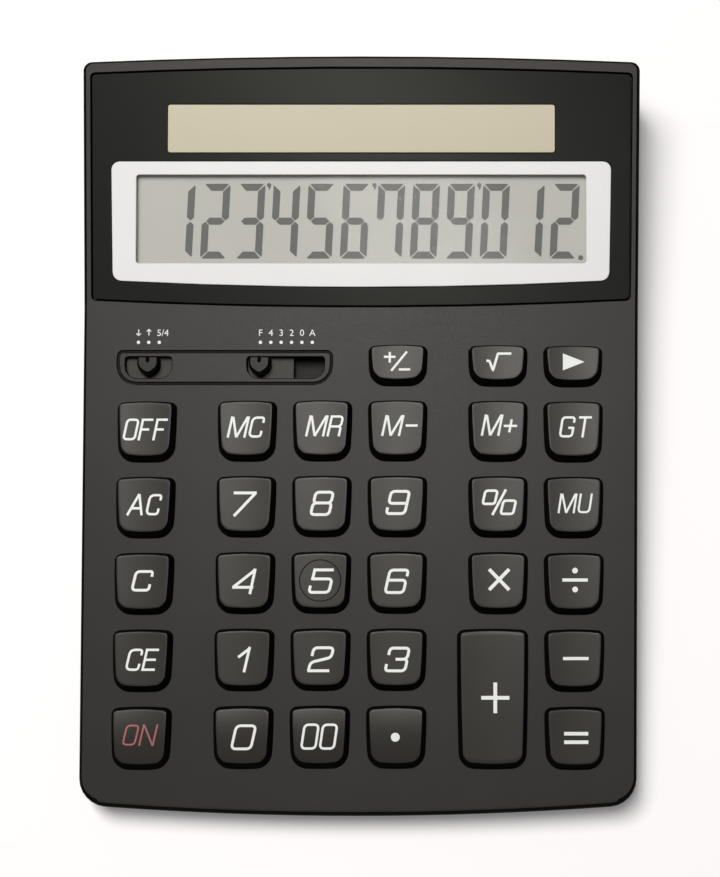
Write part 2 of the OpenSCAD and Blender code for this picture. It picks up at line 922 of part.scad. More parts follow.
module board_screws() {
  color([0.7, 0.7, 0.72])
    deck_frame()
      for (p = POSTS)
        translate([p[0], p[1], 0])
          pan_screw(board_bottom, post_screw_r, post_screw_l, post_head_r, post_head_h);
}

module dome_at(u, v) {
  translate([u, v, sheet_top - join])
    cylinder(h = dome_h + join, r1 = dome_r, r2 = stem_r + dome_t / 2);
}

module dome_hollow_at(u, v) {
  translate([u, v, board_top - join])
    cylinder(h = sheet_t + dome_h - dome_t + join, r1 = dome_r - dome_t, r2 = stem_r - dome_t / 2);
}

module keypad_membrane() {
  split_u = COL_U[3] - key_w / 2 - 2 * flange_w;
  left_back = row_v(1) + key_d / 2;
  edge_u = board_u - sheet_rim;
  color([0.8, 0.8, 0.78])
    deck_frame()
      difference() {
        union() {
          plate(
            [
              [-edge_u, board_front + sheet_rim],
              [edge_u, board_front + sheet_rim],
              [edge_u, board_back - sheet_rim],
              [split_u, board_back - sheet_rim],
              [split_u, left_back],
              [-edge_u, left_back]
            ],
            board_top,
            sheet_top
          );
          for (k = concat(SQUARE_KEYS, SHORT_KEYS))
            dome_at(COL_U[k[0]], key_v(k[0], k[1]));
          dome_at(tall_u, tall_v);
        }
        for (k = concat(SQUARE_KEYS, SHORT_KEYS))
          dome_hollow_at(COL_U[k[0]], key_v(k[0], k[1]));
        dome_hollow_at(tall_u, tall_v);
        for (p = POSTS)
          rod(p[0], p[1], board_top - over, sheet_top + over, post_r + 2 * through_gap);
      }
}

// One key cap: sloped sides, flange under the deck, hollow inside, stem over its dome
module key_cap(w, d) {
  hollow_top = key_h - key_top_t;
  difference() {
    union() {
      hull() {
        plate(key_plan(w, d, key_gap), flange_bottom, key_edge);
        plate(key_top_plan(w, d, -key_edge / 3), key_h - key_edge - join, key_h - key_edge);
        plate(key_top_plan(w, d, key_edge), key_h - join, key_h);
      }
      plate(key_plan(w, d, -flange_w), flange_bottom, flange_top);
    }
    plate(key_plan(w, d, key_gap + key_wall), flange_bottom - over, hollow_top);
  }
  rod(0, 0, stem_bottom, hollow_top + join, stem_r);
}

module square_key(c, r) {
  color([0.33, 0.32, 0.31])
    deck_frame()
      translate([COL_U[c], key_v(c, r), 0])
        key_cap(key_w, key_d);
}

module short_key(c) {
  color([0.33, 0.32, 0.31])
    deck_frame()
      translate([COL_U[c], key_v(c, 0), 0])
        key_cap(key_w, short_d);
}

module key_sign() { short_key(3); }
module key_root() { short_key(4); }
module key_backspace() { short_key(5); }
module key_off() { square_key(0, 1); }
module key_mc() { square_key(1, 1); }
module key_mr() { square_key(2, 1); }
module key_m_minus() { square_key(3, 1); }
module key_m_plus() { square_key(4, 1); }
module key_gt() { square_key(5, 1); }
module key_ac() { square_key(0, 2); }
module key_7() { square_key(1, 2); }
module key_8() { square_key(2, 2); }
module key_9() { square_key(3, 2); }
module key_percent() { square_key(4, 2); }
module key_mu() { square_key(5, 2); }
module key_c() { square_key(0, 3); }
module key_4() { square_key(1, 3); }
module key_5() { square_key(2, 3); }
module key_6() { square_key(3, 3); }
module key_times() { square_key(4, 3); }
module key_divide() { square_key(5, 3); }
module key_ce() { square_key(0, 4); }
module key_1() { square_key(1, 4); }
module key_2() { square_key(2, 4); }
module key_3() { square_key(3, 4); }
module key_minus() { square_key(5, 4); }
module key_on() { square_key(0, 5); }
module key_0() { square_key(1, 5); }
module key_00() { square_key(2, 5); }
module key_point() { square_key(3, 5); }
module key_equals() { square_key(5, 5); }

module key_plus() {
  color([0.33, 0.32, 0.31])
    deck_frame()
      translate([tall_u, tall_v, 0])
        key_cap(tall_w, tall_d);
}

// Slide switches: knob, slider plate under the deck, heel over the contact
function knob_plan(w, d) = outline(
  quad(w * 0.4, w, -d / 2, d / 2),
  [0, 0, 0, 0],
  [w * 0.15, w * 0.15, w * 0.14, w * 0.14],
  3,
  3
);

module switch_knob(slider_w) {
  depth = slot_d - 2 * slide_gap;
  hull() {
    plate(knob_plan(knob_w, depth), flange_top - join, key_edge);
    translate([0, depth * 0.1, 0])
      plate(knob_plan(knob_w * 0.7, depth * 0.7), knob_h - join, knob_h);
  }
  plate(rect(slider_w, slot_d + 2 * slider_rim), flange_bottom, flange_top);
  plate(rect(heel_w, heel_d), board_top + heel_drop, flange_bottom + join);
}

module switch_wiper() {
  low = board_top + wiper_gap;
  high = board_top + heel_drop;
  half = wiper_w / 2;
  flat = heel_w / 2 - wiper_t;
  rotate([90, 0, 0])
    translate([0, 0, -wiper_d / 2])
      linear_extrude(wiper_d)
        polygon(
          [
            [-half, low],
            [-half + 2 * wiper_t, low],
            [-flat, high - wiper_t],
            [flat, high - wiper_t],
            [half - 2 * wiper_t, low],
            [half, low],
            [half, low + wiper_t],
            [half - 1.5 * wiper_t, low + wiper_t],
            [flat, high],
            [-flat, high],
            [-half + 1.5 * wiper_t, low + wiper_t],
            [-half, low + wiper_t]
          ]
        );
}

module rounding_knob() {
  color([0.15, 0.15, 0.15])
    deck_frame()
      translate([round_u, switch_v, 0])
        switch_knob(round_slider_w);
}

module rounding_wiper() {
  color([0.8, 0.65, 0.3])
    deck_frame()
      translate([round_u, switch_v, 0])
        switch_wiper();
}

module decimal_knob() {
  color([0.15, 0.15, 0.15])
    deck_frame()
      translate([decimal_u, switch_v, 0])
        switch_knob(decimal_slider_w);
}

module decimal_wiper() {
  color([0.8, 0.65, 0.3])
    deck_frame()
      translate([decimal_u, switch_v, 0])
        switch_wiper();
}

top_case();
bottom_case();
rubber_feet();
case_screws();
display_panel();
lcd_bezel();
lcd_window();
lcd_cell();
zebra_strips();
lcd_holder();
display_board();
display_screws();
controller_chip();
buffer_capacitor();
solar_window();
solar_cell();
solar_leads();
display_ribbon();
main_board();
board_screws();
keypad_membrane();
rounding_knob();
rounding_wiper();
decimal_knob();
decimal_wiper();
key_sign();
key_root();
key_backspace();
key_off();
key_mc();
key_mr();
key_m_minus();
key_m_plus();
key_gt();
key_ac();
key_7();
key_8();
key_9();
key_percent();
key_mu();
key_c();
key_4();
key_5();
key_6();
key_times();
key_divide();
key_ce();
key_1();
key_2();
key_3();
key_minus();
key_on();
key_0();
key_00();
key_point();
key_equals();
key_plus();
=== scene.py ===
"""Solar desk calculator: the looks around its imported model.

Metres, +Z up, the front edge faces -Y. Deck coordinates run u across, v from the front edge
to the back and w up from the key deck. Panel coordinates are the same, from the bend below
the display. Sizes are written in millimetres and turned into metres by MM.
"""

import json
import math

import bmesh
import bpy
from mathutils import Matrix, Vector

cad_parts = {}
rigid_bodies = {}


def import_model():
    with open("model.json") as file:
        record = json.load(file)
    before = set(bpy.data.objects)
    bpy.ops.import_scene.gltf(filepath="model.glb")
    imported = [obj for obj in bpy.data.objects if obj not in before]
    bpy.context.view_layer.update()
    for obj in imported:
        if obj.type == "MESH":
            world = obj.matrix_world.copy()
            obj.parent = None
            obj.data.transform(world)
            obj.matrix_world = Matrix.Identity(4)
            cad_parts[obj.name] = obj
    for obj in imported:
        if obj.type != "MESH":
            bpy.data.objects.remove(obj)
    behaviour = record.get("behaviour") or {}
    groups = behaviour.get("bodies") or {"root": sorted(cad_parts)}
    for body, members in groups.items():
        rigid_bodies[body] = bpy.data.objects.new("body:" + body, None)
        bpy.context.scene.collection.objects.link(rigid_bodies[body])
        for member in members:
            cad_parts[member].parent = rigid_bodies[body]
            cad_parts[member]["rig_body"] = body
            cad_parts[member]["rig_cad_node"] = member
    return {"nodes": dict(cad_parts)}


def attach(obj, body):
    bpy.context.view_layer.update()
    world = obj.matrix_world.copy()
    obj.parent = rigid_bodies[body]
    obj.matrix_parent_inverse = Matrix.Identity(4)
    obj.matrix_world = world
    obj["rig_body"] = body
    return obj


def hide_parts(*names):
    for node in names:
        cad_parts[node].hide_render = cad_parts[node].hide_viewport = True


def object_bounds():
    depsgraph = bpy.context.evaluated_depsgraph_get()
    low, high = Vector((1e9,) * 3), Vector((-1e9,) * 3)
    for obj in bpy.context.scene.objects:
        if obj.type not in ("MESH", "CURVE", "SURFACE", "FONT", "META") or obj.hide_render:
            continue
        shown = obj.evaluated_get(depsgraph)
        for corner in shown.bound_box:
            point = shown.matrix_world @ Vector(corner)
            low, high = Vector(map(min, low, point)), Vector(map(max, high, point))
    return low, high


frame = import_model()
CAD_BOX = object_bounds()

MM = 0.001

# The case's planes
DECK_TILT = math.radians(5)
DISPLAY_TILT = math.radians(4)
FRONT_H = 13 * MM
BEND_V = 141.2 * MM
DECK = Matrix.Translation((0, CAD_BOX[0].y, FRONT_H)) @ Matrix.Rotation(DECK_TILT, 4, "X")
PANEL = DECK @ Matrix.Translation((0, BEND_V, 0)) @ Matrix.Rotation(DISPLAY_TILT, 4, "X")
TO_DECK = DECK.inverted()
TO_PANEL = PANEL.inverted()

# The case's plan: how much narrower each side is at the front, and the plan's length
FRONT_TAPER = 2.3 * MM
PLAN_L = 209.2 * MM

# Levels in deck and panel coordinates
FLANGE_TOP = -2.4 * MM
FLANGE_BOTTOM = -3.4 * MM
KEY_H = 3.2 * MM
CELL_TOP = -2.4 * MM

# Edges that turn by more than SHARP are rounded, those that turn by less than SMOOTH look smooth
SHARP = math.radians(28)
SMOOTH = math.radians(32)


# Picking pieces up and putting them down


def take(obj):
    """Only this object is selected and active."""
    bpy.ops.object.select_all(action="DESELECT")
    obj.select_set(True)
    bpy.context.view_layer.objects.active = obj
    return obj


def edit(obj):
    """Opens an object in edit mode."""
    take(obj)
    bpy.ops.object.mode_set(mode="EDIT")


def leave():
    """Goes back to object mode."""
    bpy.ops.object.mode_set(mode="OBJECT")


def started(name):
    """The object that an add operator has just made, under its own name."""
    obj = bpy.context.object
    obj.name = name
    obj.data.name = name
    return obj


def copied(obj, name):
    """A visible copy with a mesh of its own."""
    copy = obj.copy()
    copy.data = obj.data.copy()
    copy.name = name
    copy.data.name = name
    copy.hide_render = False
    copy.hide_viewport = False
    bpy.context.scene.collection.objects.link(copy)
    return copy


def placed(obj, matrix):
    """Puts an object's place into its mesh, so that the object itself stays at the origin."""
    take(obj)
    obj.matrix_world = matrix
    bpy.ops.object.transform_apply(location=True, rotation=True, scale=True)
    return obj


def joined(name, parts):
    """Several parts as one object."""
    take(parts[0])
    for part in parts:
        part.select_set(True)
    if len(parts) > 1:
        bpy.ops.object.join()
    return started(name)


def apply_all(obj):
    """Applies an object's modifiers in their order."""
    take(obj)
    for modifier in list(obj.modifiers):
        bpy.ops.object.modifier_apply(modifier=modifier.name)
    return obj


def smoothed(obj, angle=SMOOTH, keep_flat=True):
    """Smooth shading over eased edges, with the large faces kept flat."""
    take(obj)
    bpy.ops.object.shade_smooth_by_angle(angle=angle)
    if not keep_flat:
        return obj
    flat = obj.modifiers.new("flat_faces", "WEIGHTED_NORMAL")
    flat.keep_sharp = True
    bpy.ops.object.modifier_apply(modifier=flat.name)
    return obj


def pick(chosen, kind="edges"):
    """In edit mode, selects the points, edges or faces that the test names."""
    bpy.ops.mesh.select_mode(type={"verts": "VERT", "edges": "EDGE", "faces": "FACE"}[kind])
    bpy.ops.mesh.select_all(action="DESELECT")
    mesh = bmesh.from_edit_mesh(bpy.context.object.data)
    mesh.normal_update()
    for part in getattr(mesh, kind):
        if chosen(part):
            part.select_set(True)
    mesh.select_flush_mode()
    bmesh.update_edit_mesh(bpy.context.object.data)


def middle(edge):
    """The point halfway along an edge."""
    return (edge.verts[0].co + edge.verts[1].co) / 2


def is_sharp(edge):
    """Whether two faces meet here at a sharp angle."""
    return len(edge.link_faces) == 2 and edge.calc_face_angle(0) > SHARP


def merged_copy(node, name):
    """A copy of a CAD node with its loose triangles merged into whole faces."""
    obj = copied(frame["nodes"][node], name)
    obj.data.materials.clear()
    obj.parent = None
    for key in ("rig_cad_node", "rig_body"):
        del obj[key]
    edit(obj)
    bpy.ops.mesh.select_all(action="SELECT")
    bpy.ops.mesh.remove_doubles(threshold=0.002 * MM)
    bpy.ops.mesh.dissolve_limited(angle_limit=math.radians(0.5))
    leave()
    return obj


def ease_edges(obj, width, segments, chosen):
    """Rounds the edges that the test names."""
    edit(obj)
    pick(chosen)
    bpy.ops.mesh.bevel(offset=width, segments=segments, profile=0.5, affect="EDGES", clamp_overlap=False)
    leave()


def start_shape(add, name, size, place=(0, 0, 0)):
    """A primitive at its size and place, as the start of a piece."""
    bpy.ops.object.select_all(action="DESELECT")
    add(size=1)
    obj = started(name)
    obj.dimensions = size
    obj.location = place
    bpy.ops.object.transform_apply(location=True, scale=True)
    return obj


def turn_outwards():
    """In edit mode, turns all faces outwards."""
    bpy.ops.mesh.select_all(action="SELECT")
    bpy.ops.mesh.normals_make_consistent(inside=False)


def stands_up(edge):
    """Whether an edge rises by more than half a millimetre."""
    return abs(edge.verts[0].co.z - edge.verts[1].co.z) > 0.5 * MM


def cut_by(obj, cutter):
    """Cuts the cutter's shape out of an object and removes the cutter."""
    cut = obj.modifiers.new("cut", "BOOLEAN")
    cut.operation = "DIFFERENCE"
    cut.solver = "EXACT"
    cut.object = cutter
    apply_all(obj)
    bpy.data.objects.remove(cutter)
    return obj


def thickened(obj, thickness, offset):
    """Gives flat print the thickness of its ink or film."""
    solid = obj.modifiers.new("ink", "SOLIDIFY")
    solid.thickness = thickness
    solid.offset = offset
    return apply_all(obj)


def deck_box(node):
    """Lowest and highest corner of a CAD node, square to the deck."""
    points = [TO_DECK @ v.co for v in frame["nodes"][node].data.vertices]
    low = Vector([min(p[i] for p in points) for i in range(3)])
    high = Vector([max(p[i] for p in points) for i in range(3)])
    return low, high


def dressed(obj, body, stands_for=(), finishes=()):
    """Gives a finished piece its materials, its body and what it stands for."""
    for finish in finishes:
        obj.data.materials.append(finish)
    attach(obj, body)
    if stands_for:
        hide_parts(*stands_for)
    return obj


# Finishes


def tone(red, green, blue):
    """A colour as it looks on a screen, 0 to 255, in the shader's linear scale."""
    linear = []
    for value in (red, green, blue):
        share = value / 255
        linear.append(share / 12.92 if share <= 0.04045 else ((share + 0.055) / 1.055) ** 2.4)
    return (*linear, 1.0)


def shade(colour, factor):
    """The colour made darker or lighter."""
    return (*[min(1.0, c * factor) for c in colour[:3]], 1.0)


class Finish:
    """A material that starts as a Principled shader on the piece's own coordinates."""

    def __init__(self, name, rough, metal=0.0, specular=0.5):
        self.material = bpy.data.materials.new(name)
        self.material.use_nodes = True
        self.nodes = self.material.node_tree.nodes
        self.links = self.material.node_tree.links
        self.shader = self.nodes["Principled BSDF"]
        self.shader.inputs["Roughness"].default_value = rough
        self.shader.inputs["Metallic"].default_value = metal
        self.shader.inputs["Specular IOR Level"].default_value = specular
        self.place = self.nodes.new("ShaderNodeTexCoord").outputs["Object"]

    def mapped(self, scale):
        """The piece's coordinates, stretched along its axes."""
        node = self.nodes.new("ShaderNodeMapping")
        node.inputs["Scale"].default_value = scale
        self.links.new(self.place, node.inputs["Vector"])
        return node.outputs["Vector"]

    def noise(self, size, detail=2.0, rough=0.5, vector=None):
        """Soft noise whose spots are about this size."""
        node = self.nodes.new("ShaderNodeTexNoise")
        node.inputs["Scale"].default_value = 1 / size
        node.inputs["Detail"].default_value = detail
        node.inputs["Roughness"].default_value = rough
        self.links.new(vector or self.place, node.inputs["Vector"])
        return node.outputs["Fac"]

    def ramp(self, value, *stops):
        """Colours along a value, each with its place."""
        node = self.nodes.new("ShaderNodeValToRGB")
        points = node.color_ramp.elements
        while len(points) < len(stops):
            points.new(0.5)
        for point, (at, colour) in zip(points, stops):
            point.position = at
            point.color = colour
        self.links.new(value, node.inputs["Fac"])
        return node.outputs["Color"]

    def tones(self, value, colour, dark, light):
        """From a darker to a lighter tone of one colour."""
        return self.ramp(value, (0.3, shade(colour, dark)), (0.7, shade(colour, light)))

    def spread(self, value, low, high, from_low=0.3, from_high=0.7):
        """The value moved to another range."""
        node = self.nodes.new("ShaderNodeMapRange")
        node.inputs["From Min"].default_value = from_low
        node.inputs["From Max"].default_value = from_high
        node.inputs["To Min"].default_value = low
        node.inputs["To Max"].default_value = high
        self.links.new(value, node.inputs["Value"])
        return node.outputs["Result"]

    def mix(self, share, first, second):
        """Blends two colours; on this node they are sockets 6 and 7, and the result is output 2."""
        node = self.nodes.new("ShaderNodeMix")
        node.data_type = "RGBA"
        node.inputs[0].default_value = share
        self.links.new(first, node.inputs[6])
        self.links.new(second, node.inputs[7])
        return node.outputs[2]

    def maths(self, operation, first, second):
        """One sum of a value and a second value or plain number."""
        node = self.nodes.new("ShaderNodeMath")
        node.operation = operation
        self.links.new(first, node.inputs[0])
        if isinstance(second, float):
            node.inputs[1].default_value = second
        else:
            self.links.new(second, node.inputs[1])
        return node.outputs[0]

    def paint(self, colour):
        """Takes the surface's colour from a node."""
        self.links.new(colour, self.shader.inputs["Base Color"])

    def gloss(self, value):
        """Takes the surface's roughness from a node."""
        self.links.new(value, self.shader.inputs["Roughness"])

    def relief(self, height, depth):
        """Raises the surface by a node's value, up to this depth."""
        node = self.nodes.new("ShaderNodeBump")
        node.inputs["Strength"].default_value = 1.0
        node.inputs["Distance"].default_value = depth
        self.links.new(height, node.inputs["Height"])
        self.links.new(node.outputs["Normal"], self.shader.inputs["Normal"])


WARM_SHEEN = (1.0, 0.97, 0.9, 1.0)


def moulded(
    name, colour, rough, grain=0.35 * MM, depth=0.008 * MM, specular=0.5, mottle=0.06, rough_span=0.06
):
    """Moulded plastic: a fine spark-eroded grain, faint flow clouds and an uneven satin."""
    finish = Finish(name, rough, specular=specular)
    finish.shader.inputs["Specular Tint"].default_value = WARM_SHEEN
    clouds = finish.noise(14 * MM, detail=3)
    finish.paint(finish.tones(clouds, colour, 1 - mottle, 1 + mottle))
    pits = finish.noise(grain, detail=2)
    finish.gloss(finish.spread(pits, rough - rough_span, rough + rough_span))
    finish.relief(pits, depth)
    return finish.material


def printed(name, colour):
    """Screen-printed ink: opaque, a little uneven, slightly rough."""
    finish = Finish(name, 0.5, specular=0.3)
    specks = finish.noise(0.3 * MM, detail=3)
    finish.paint(finish.ramp(specks, (0.2, shade(colour, 0.94)), (0.6, colour)))
    finish.gloss(finish.spread(specks, 0.44, 0.56))
    finish.relief(specks, 0.004 * MM)
    return finish.material


def brushed(name, colour, rough):
    """Plated metal with fine turning marks."""
    finish = Finish(name, rough, metal=1.0)
    marks = finish.noise(0.2 * MM, detail=2, vector=finish.mapped(scale=(1, 1, 8)))
    finish.paint(finish.tones(marks, colour, 0.85, 1.1))
    finish.gloss(finish.spread(marks, rough - 0.08, rough + 0.08))
    finish.relief(marks, 0.004 * MM)
    return finish.material


def rubbery(name, colour):
    """Moulded rubber: dull, with a fine dusty bloom."""
    finish = Finish(name, 0.8, specular=0.25)
    bloom = finish.noise(2 * MM, detail=4, rough=0.6)
    finish.paint(finish.ramp(bloom, (0.35, colour), (0.75, shade(colour, 1.25))))
    pits = finish.noise(0.25 * MM)
    finish.gloss(finish.spread(pits, 0.72, 0.88))
    finish.relief(pits, 0.015 * MM)
    return finish.material


def banded(name, first, second, band, axis_scale):
    """Fine bands of two colours, as on a striped contact strip or a laminate's weave."""
    finish = Finish(name, 0.6)
    wave = finish.nodes.new("ShaderNodeTexWave")
    wave.inputs["Scale"].default_value = 1 / band / 20
    wave.inputs["Distortion"].default_value = 0.4
    finish.links.new(finish.mapped(scale=axis_scale), wave.inputs["Vector"])
    finish.paint(finish.ramp(wave.outputs["Fac"], (0.35, first), (0.65, second)))
    finish.gloss(finish.spread(finish.noise(0.4 * MM), 0.5, 0.68))
    finish.relief(wave.outputs["Fac"], 0.01 * MM)
    return finish.material


def display_glass():
    """The reflective display: pale grey with a faint cloud and a fine grain."""
    finish = Finish("display_grey", 0.45, specular=0.35)
    colour = tone(188, 185, 175)
    clouds = finish.noise(30 * MM, detail=2)
    grain = finish.noise(0.12 * MM, detail=1)
    base = finish.tones(clouds, colour, 0.96, 1.04)
    finish.paint(finish.mix(0.35, base, finish.tones(grain, colour, 0.93, 1.05)))
    finish.gloss(finish.spread(grain, 0.4, 0.5))
    return finish.material


def clear_lens():
    """The clear window: almost nothing but its shine, with faint wiping marks."""
    finish = Finish("clear_lens", 0.06)
    finish.shader.inputs["Alpha"].default_value = 0.05
    haze = finish.noise(5 * MM, detail=4, vector=finish.mapped(scale=(0.4, 1.6, 1)))
    finish.paint(finish.ramp(haze, (0.3, tone(228, 231, 230)), (0.7, tone(240, 242, 241))))
    finish.gloss(finish.spread(haze, 0.05, 0.12))
    return finish.material


def solar_cover():
    """The pale cover of the cell: milky and satin, with painted shade that makes it a little darker towards
    the display.
    """
    finish = Finish("solar_beige", 0.4, specular=0.4)
    colour = tone(199, 190, 164)
    rows = finish.nodes.new("ShaderNodeSeparateXYZ")
    finish.links.new(finish.place, rows.inputs["Vector"])
    # Painted light and shade: lighter away from the display and darker towards it, as the light falls
    painted_fade_from, painted_fade_to = 74 * MM, 90 * MM
    painted_shade_fade = finish.spread(rows.outputs["Y"], 0.0, 1.0, painted_fade_from, painted_fade_to)
    base = finish.ramp(painted_shade_fade, (0.0, shade(colour, 0.95)), (1.0, shade(colour, 1.05)))
    clouds = finish.noise(40 * MM, detail=2)
    finish.paint(finish.mix(0.3, base, finish.tones(clouds, colour, 0.97, 1.03)))
    grain = finish.noise(0.3 * MM)
    finish.gloss(finish.spread(grain, 0.36, 0.46))
    finish.relief(grain, 0.002 * MM)
    return finish.material


CASE = moulded("case_plastic", tone(46, 45, 44), 0.43, specular=0.38)
# Painted shade: the case's walls and rounded rim are the deck's plastic, painted near black as they look in
# shade
CASE_WALL_SHADE = moulded("case_wall_painted_shade", tone(13, 13, 12), 0.6, specular=0.04)
BASE = moulded("base_plastic", tone(28, 27, 27), 0.6, grain=0.5 * MM, depth=0.02 * MM, specular=0.35)
PANEL_FINISH = moulded(
    "panel_plastic", tone(34, 35, 32), 0.25, depth=0.002 * MM, specular=0.06, mottle=0.03, rough_span=0.03
)
# Painted shade: the display panel's steep walls are painted dark, as they look in shade
PANEL_EDGE_SHADE = moulded("panel_edge_painted_shade", tone(20, 20, 19), 0.5, specular=0.2)
BEZEL = moulded("bezel_white", tone(231, 230, 228), 0.38, depth=0.002 * MM, mottle=0.012, rough_span=0.04)
KEY_TOP = moulded("key_satin", tone(46, 45, 42), 0.36, grain=0.25 * MM, depth=0.004 * MM)
# Painted shade: key and knob sides are painted near black, as they look in shade
KEY_SIDE_SHADE = moulded("key_side_painted_shade", tone(13, 13, 12), 0.7, specular=0.05)
KNOB_TOP = moulded("knob_satin", tone(24, 24, 22), 0.45, grain=0.25 * MM, depth=0.004 * MM)
SLIDER = moulded("slider_grey", tone(54, 53, 50), 0.5)
INK = printed("legend_white", tone(243, 243, 239))
RED_INK = printed("legend_red", tone(176, 106, 106))
SEGMENT = printed("segment_grey", tone(82, 80, 73))
# Painted shade: the floors of the switch groove and of the key's engraved ring are painted dark, as they look
# in shade
GROOVE_SHADE = moulded("groove_painted_shade", tone(27, 26, 25), 0.6, specular=0.2)
# Painted shade: the floor of a knob's notch is painted near black, as it looks in shade
NOTCH_SHADE = moulded("notch_painted_shade", tone(9, 9, 8), 0.8, specular=0.03)

CAD_FINISHES = {
    "case_screws": brushed("screw_zinc", tone(168, 168, 170), 0.35),
    "lcd_window": clear_lens(),
    "lcd_cell": display_glass(),
    "zebra_strips": banded("zebra_rubber", tone(70, 62, 64), tone(128, 116, 118), 0.3 * MM, (1, 0, 0)),
    "lcd_holder": moulded("holder_plastic", tone(214, 213, 207), 0.5),
    "display_board": banded("display_laminate", tone(36, 88, 50), tone(44, 102, 60), 0.6 * MM, (1, 1, 0)),
    "controller_chip": moulded("black_resin", tone(20, 20, 20), 0.3, grain=1.5 * MM),
    "buffer_capacitor": moulded("capacitor_sleeve", tone(44, 54, 104), 0.3, grain=1 * MM),
    "solar_cell": banded("solar_cell_dark", tone(52, 32, 32), tone(66, 42, 40), 0.5 * MM, (1, 0, 0)),
    "solar_leads": moulded("lead_red", tone(170, 42, 36), 0.4),
    "display_ribbon": banded("ribbon_film", tone(186, 124, 46), tone(200, 150, 80), 0.5 * MM, (1, 0, 0)),
    "main_board": moulded("main_lacquer", tone(30, 30, 28), 0.5, specular=0.3),
    "keypad_membrane": rubbery("membrane_silicone", tone(204, 204, 199)),
    "rounding_wiper": brushed("contact_brass", tone(200, 165, 85), 0.3),
}
CAD_FINISHES["display_screws"] = CAD_FINISHES["case_screws"]
CAD_FINISHES["board_screws"] = CAD_FINISHES["case_screws"]
CAD_FINISHES["decimal_wiper"] = CAD_FINISHES["rounding_wiper"]
FOOT_RUBBER = rubbery("foot_rubber", tone(30, 30, 30))
SOLAR = solar_cover()


def finish_inner_nodes():
    """Materials of the CAD nodes that stay as they are."""
    for node, finish in CAD_FINISHES.items():
        materials = frame["nodes"][node].data.materials
        materials.clear()
        materials.append(finish)


# The case

# Strips of the deck in which an edge belongs to the rim: beside, at the front and at the back
RIM_BESIDE, RIM_FRONT, RIM_BACK = 8 * MM, 9 * MM, 203 * MM
# How far an outer wall has to look outwards
OUTWARDS = 0.2
# Where the switches' groove lies: its levels, and its front and back
GROOVE_LEVELS = (-1.2 * MM, -0.1 * MM)
GROOVE_REACH = (112 * MM, 132 * MM)


def assign(obj, index, chosen):
    """Gives a material slot to the faces that the test names."""
    edit(obj)
    pick(chosen, "faces")
    obj.active_material_index = index
    bpy.ops.object.material_slot_assign()
    leave()


def deck_up(normal):
    """How squarely a face looks up from the deck."""
    return (TO_DECK.to_3x3() @ normal).z


def case_half_width(v):
    """Half the case's width at a depth from its front edge."""
    return CAD_BOX[1].x - FRONT_TAPER * (1 - v / PLAN_L)


def upper_turn(edge):
    """The wall's normal in deck coordinates where a level face turns down into a wall, or None."""
    if not is_sharp(edge):
        return None
    normals = sorted((TO_DECK.to_3x3() @ f.normal for f in edge.link_faces), key=lambda n: n.z)
    return normals[0] if normals[1].z > 0.9 and abs(normals[0].z) < 0.25 else None


def on_rim(edge):
    """Where the top turns down into the outer wall."""
    wall = upper_turn(edge)
    if wall is None:
        return False
    place = TO_DECK @ middle(edge)
    inset = case_half_width(place.y) - abs(place.x)
    beside = inset < RIM_BESIDE and wall.x * place.x > OUTWARDS * abs(place.x)
    ahead = place.y < RIM_FRONT and wall.y < -OUTWARDS
    behind = place.y > RIM_BACK and wall.y > OUTWARDS
    return beside or ahead or behind


def on_opening(edge):
    """The upper edges of key holes, slots, groove and panel seat."""
    place = TO_DECK @ middle(edge)
    slope = max(0, place.y - BEND_V) * math.tan(DISPLAY_TILT)
    return upper_turn(edge) is not None and abs(place.z - slope) < 0.05 * MM


def turns_down(face):
    """Walls and the rounded rim, which get painted shade, from nearer the deck at the sides than at the front
    and back.
    """
    normal = TO_DECK.to_3x3() @ face.normal
    return normal.z < (0.995 if abs(normal.x) > 0.03 else 0.95)


def in_switch_groove(face):
    """The floor of the line cut round the two switches."""
    place = TO_DECK @ face.calc_center_median()
    sunk = GROOVE_LEVELS[0] < place.z < GROOVE_LEVELS[1]
    by_switches = GROOVE_REACH[0] < place.y < GROOVE_REACH[1] and place.x < 0
    return sunk and by_switches and deck_up(face.normal) > 0.9


def round_rim(obj, widest=1.7 * MM, sides=0.53):
    """Rounds the rim, most along the front edge."""
    edit(obj)
    mesh = bmesh.from_edit_mesh(obj.data)
    mesh.normal_update()
    weight = mesh.edges.layers.float.new("bevel_weight_edge")
    for edge in mesh.edges:
        if on_rim(edge):
            forward = max(0, -upper_turn(edge).y)
            edge[weight] = sides + (1 - sides) * forward**2
    bmesh.update_edit_mesh(obj.data)
    leave()
    bevel = obj.modifiers.new("rim", "BEVEL")
    bevel.limit_method = "WEIGHT"
    bevel.width = widest
    bevel.segments = 5
    bevel.use_clamp_overlap = False
    apply_all(obj)


def top_case():
    """The upper shell: rounded rim, eased key holes and slots, and walls painted dark as shade."""
    obj = merged_copy("top_case", "top_case_shell")
    round_rim(obj)
    ease_edges(obj, 0.2 * MM, 2, on_opening)
    for finish in (CASE, CASE_WALL_SHADE, GROOVE_SHADE):
        obj.data.materials.append(finish)
    # The walls and rounded rim get the painted shade
    assign(obj, 1, turns_down)
    # The switch groove's floor gets painted shade
    assign(obj, 2, in_switch_groove)
    smoothed(obj)
    return dressed(obj, "case", ["top_case"])


def on_upper_edge(edge):
    """Where a display piece's upper face turns down."""
    if not is_sharp(edge):
        return False
    ups = sorted((TO_PANEL.to_3x3() @ f.normal).z for f in edge.link_faces)
    return ups[1] > 0.95 and abs(ups[0]) < 0.3 and (TO_PANEL @ middle(edge)).z > -0.1 * MM


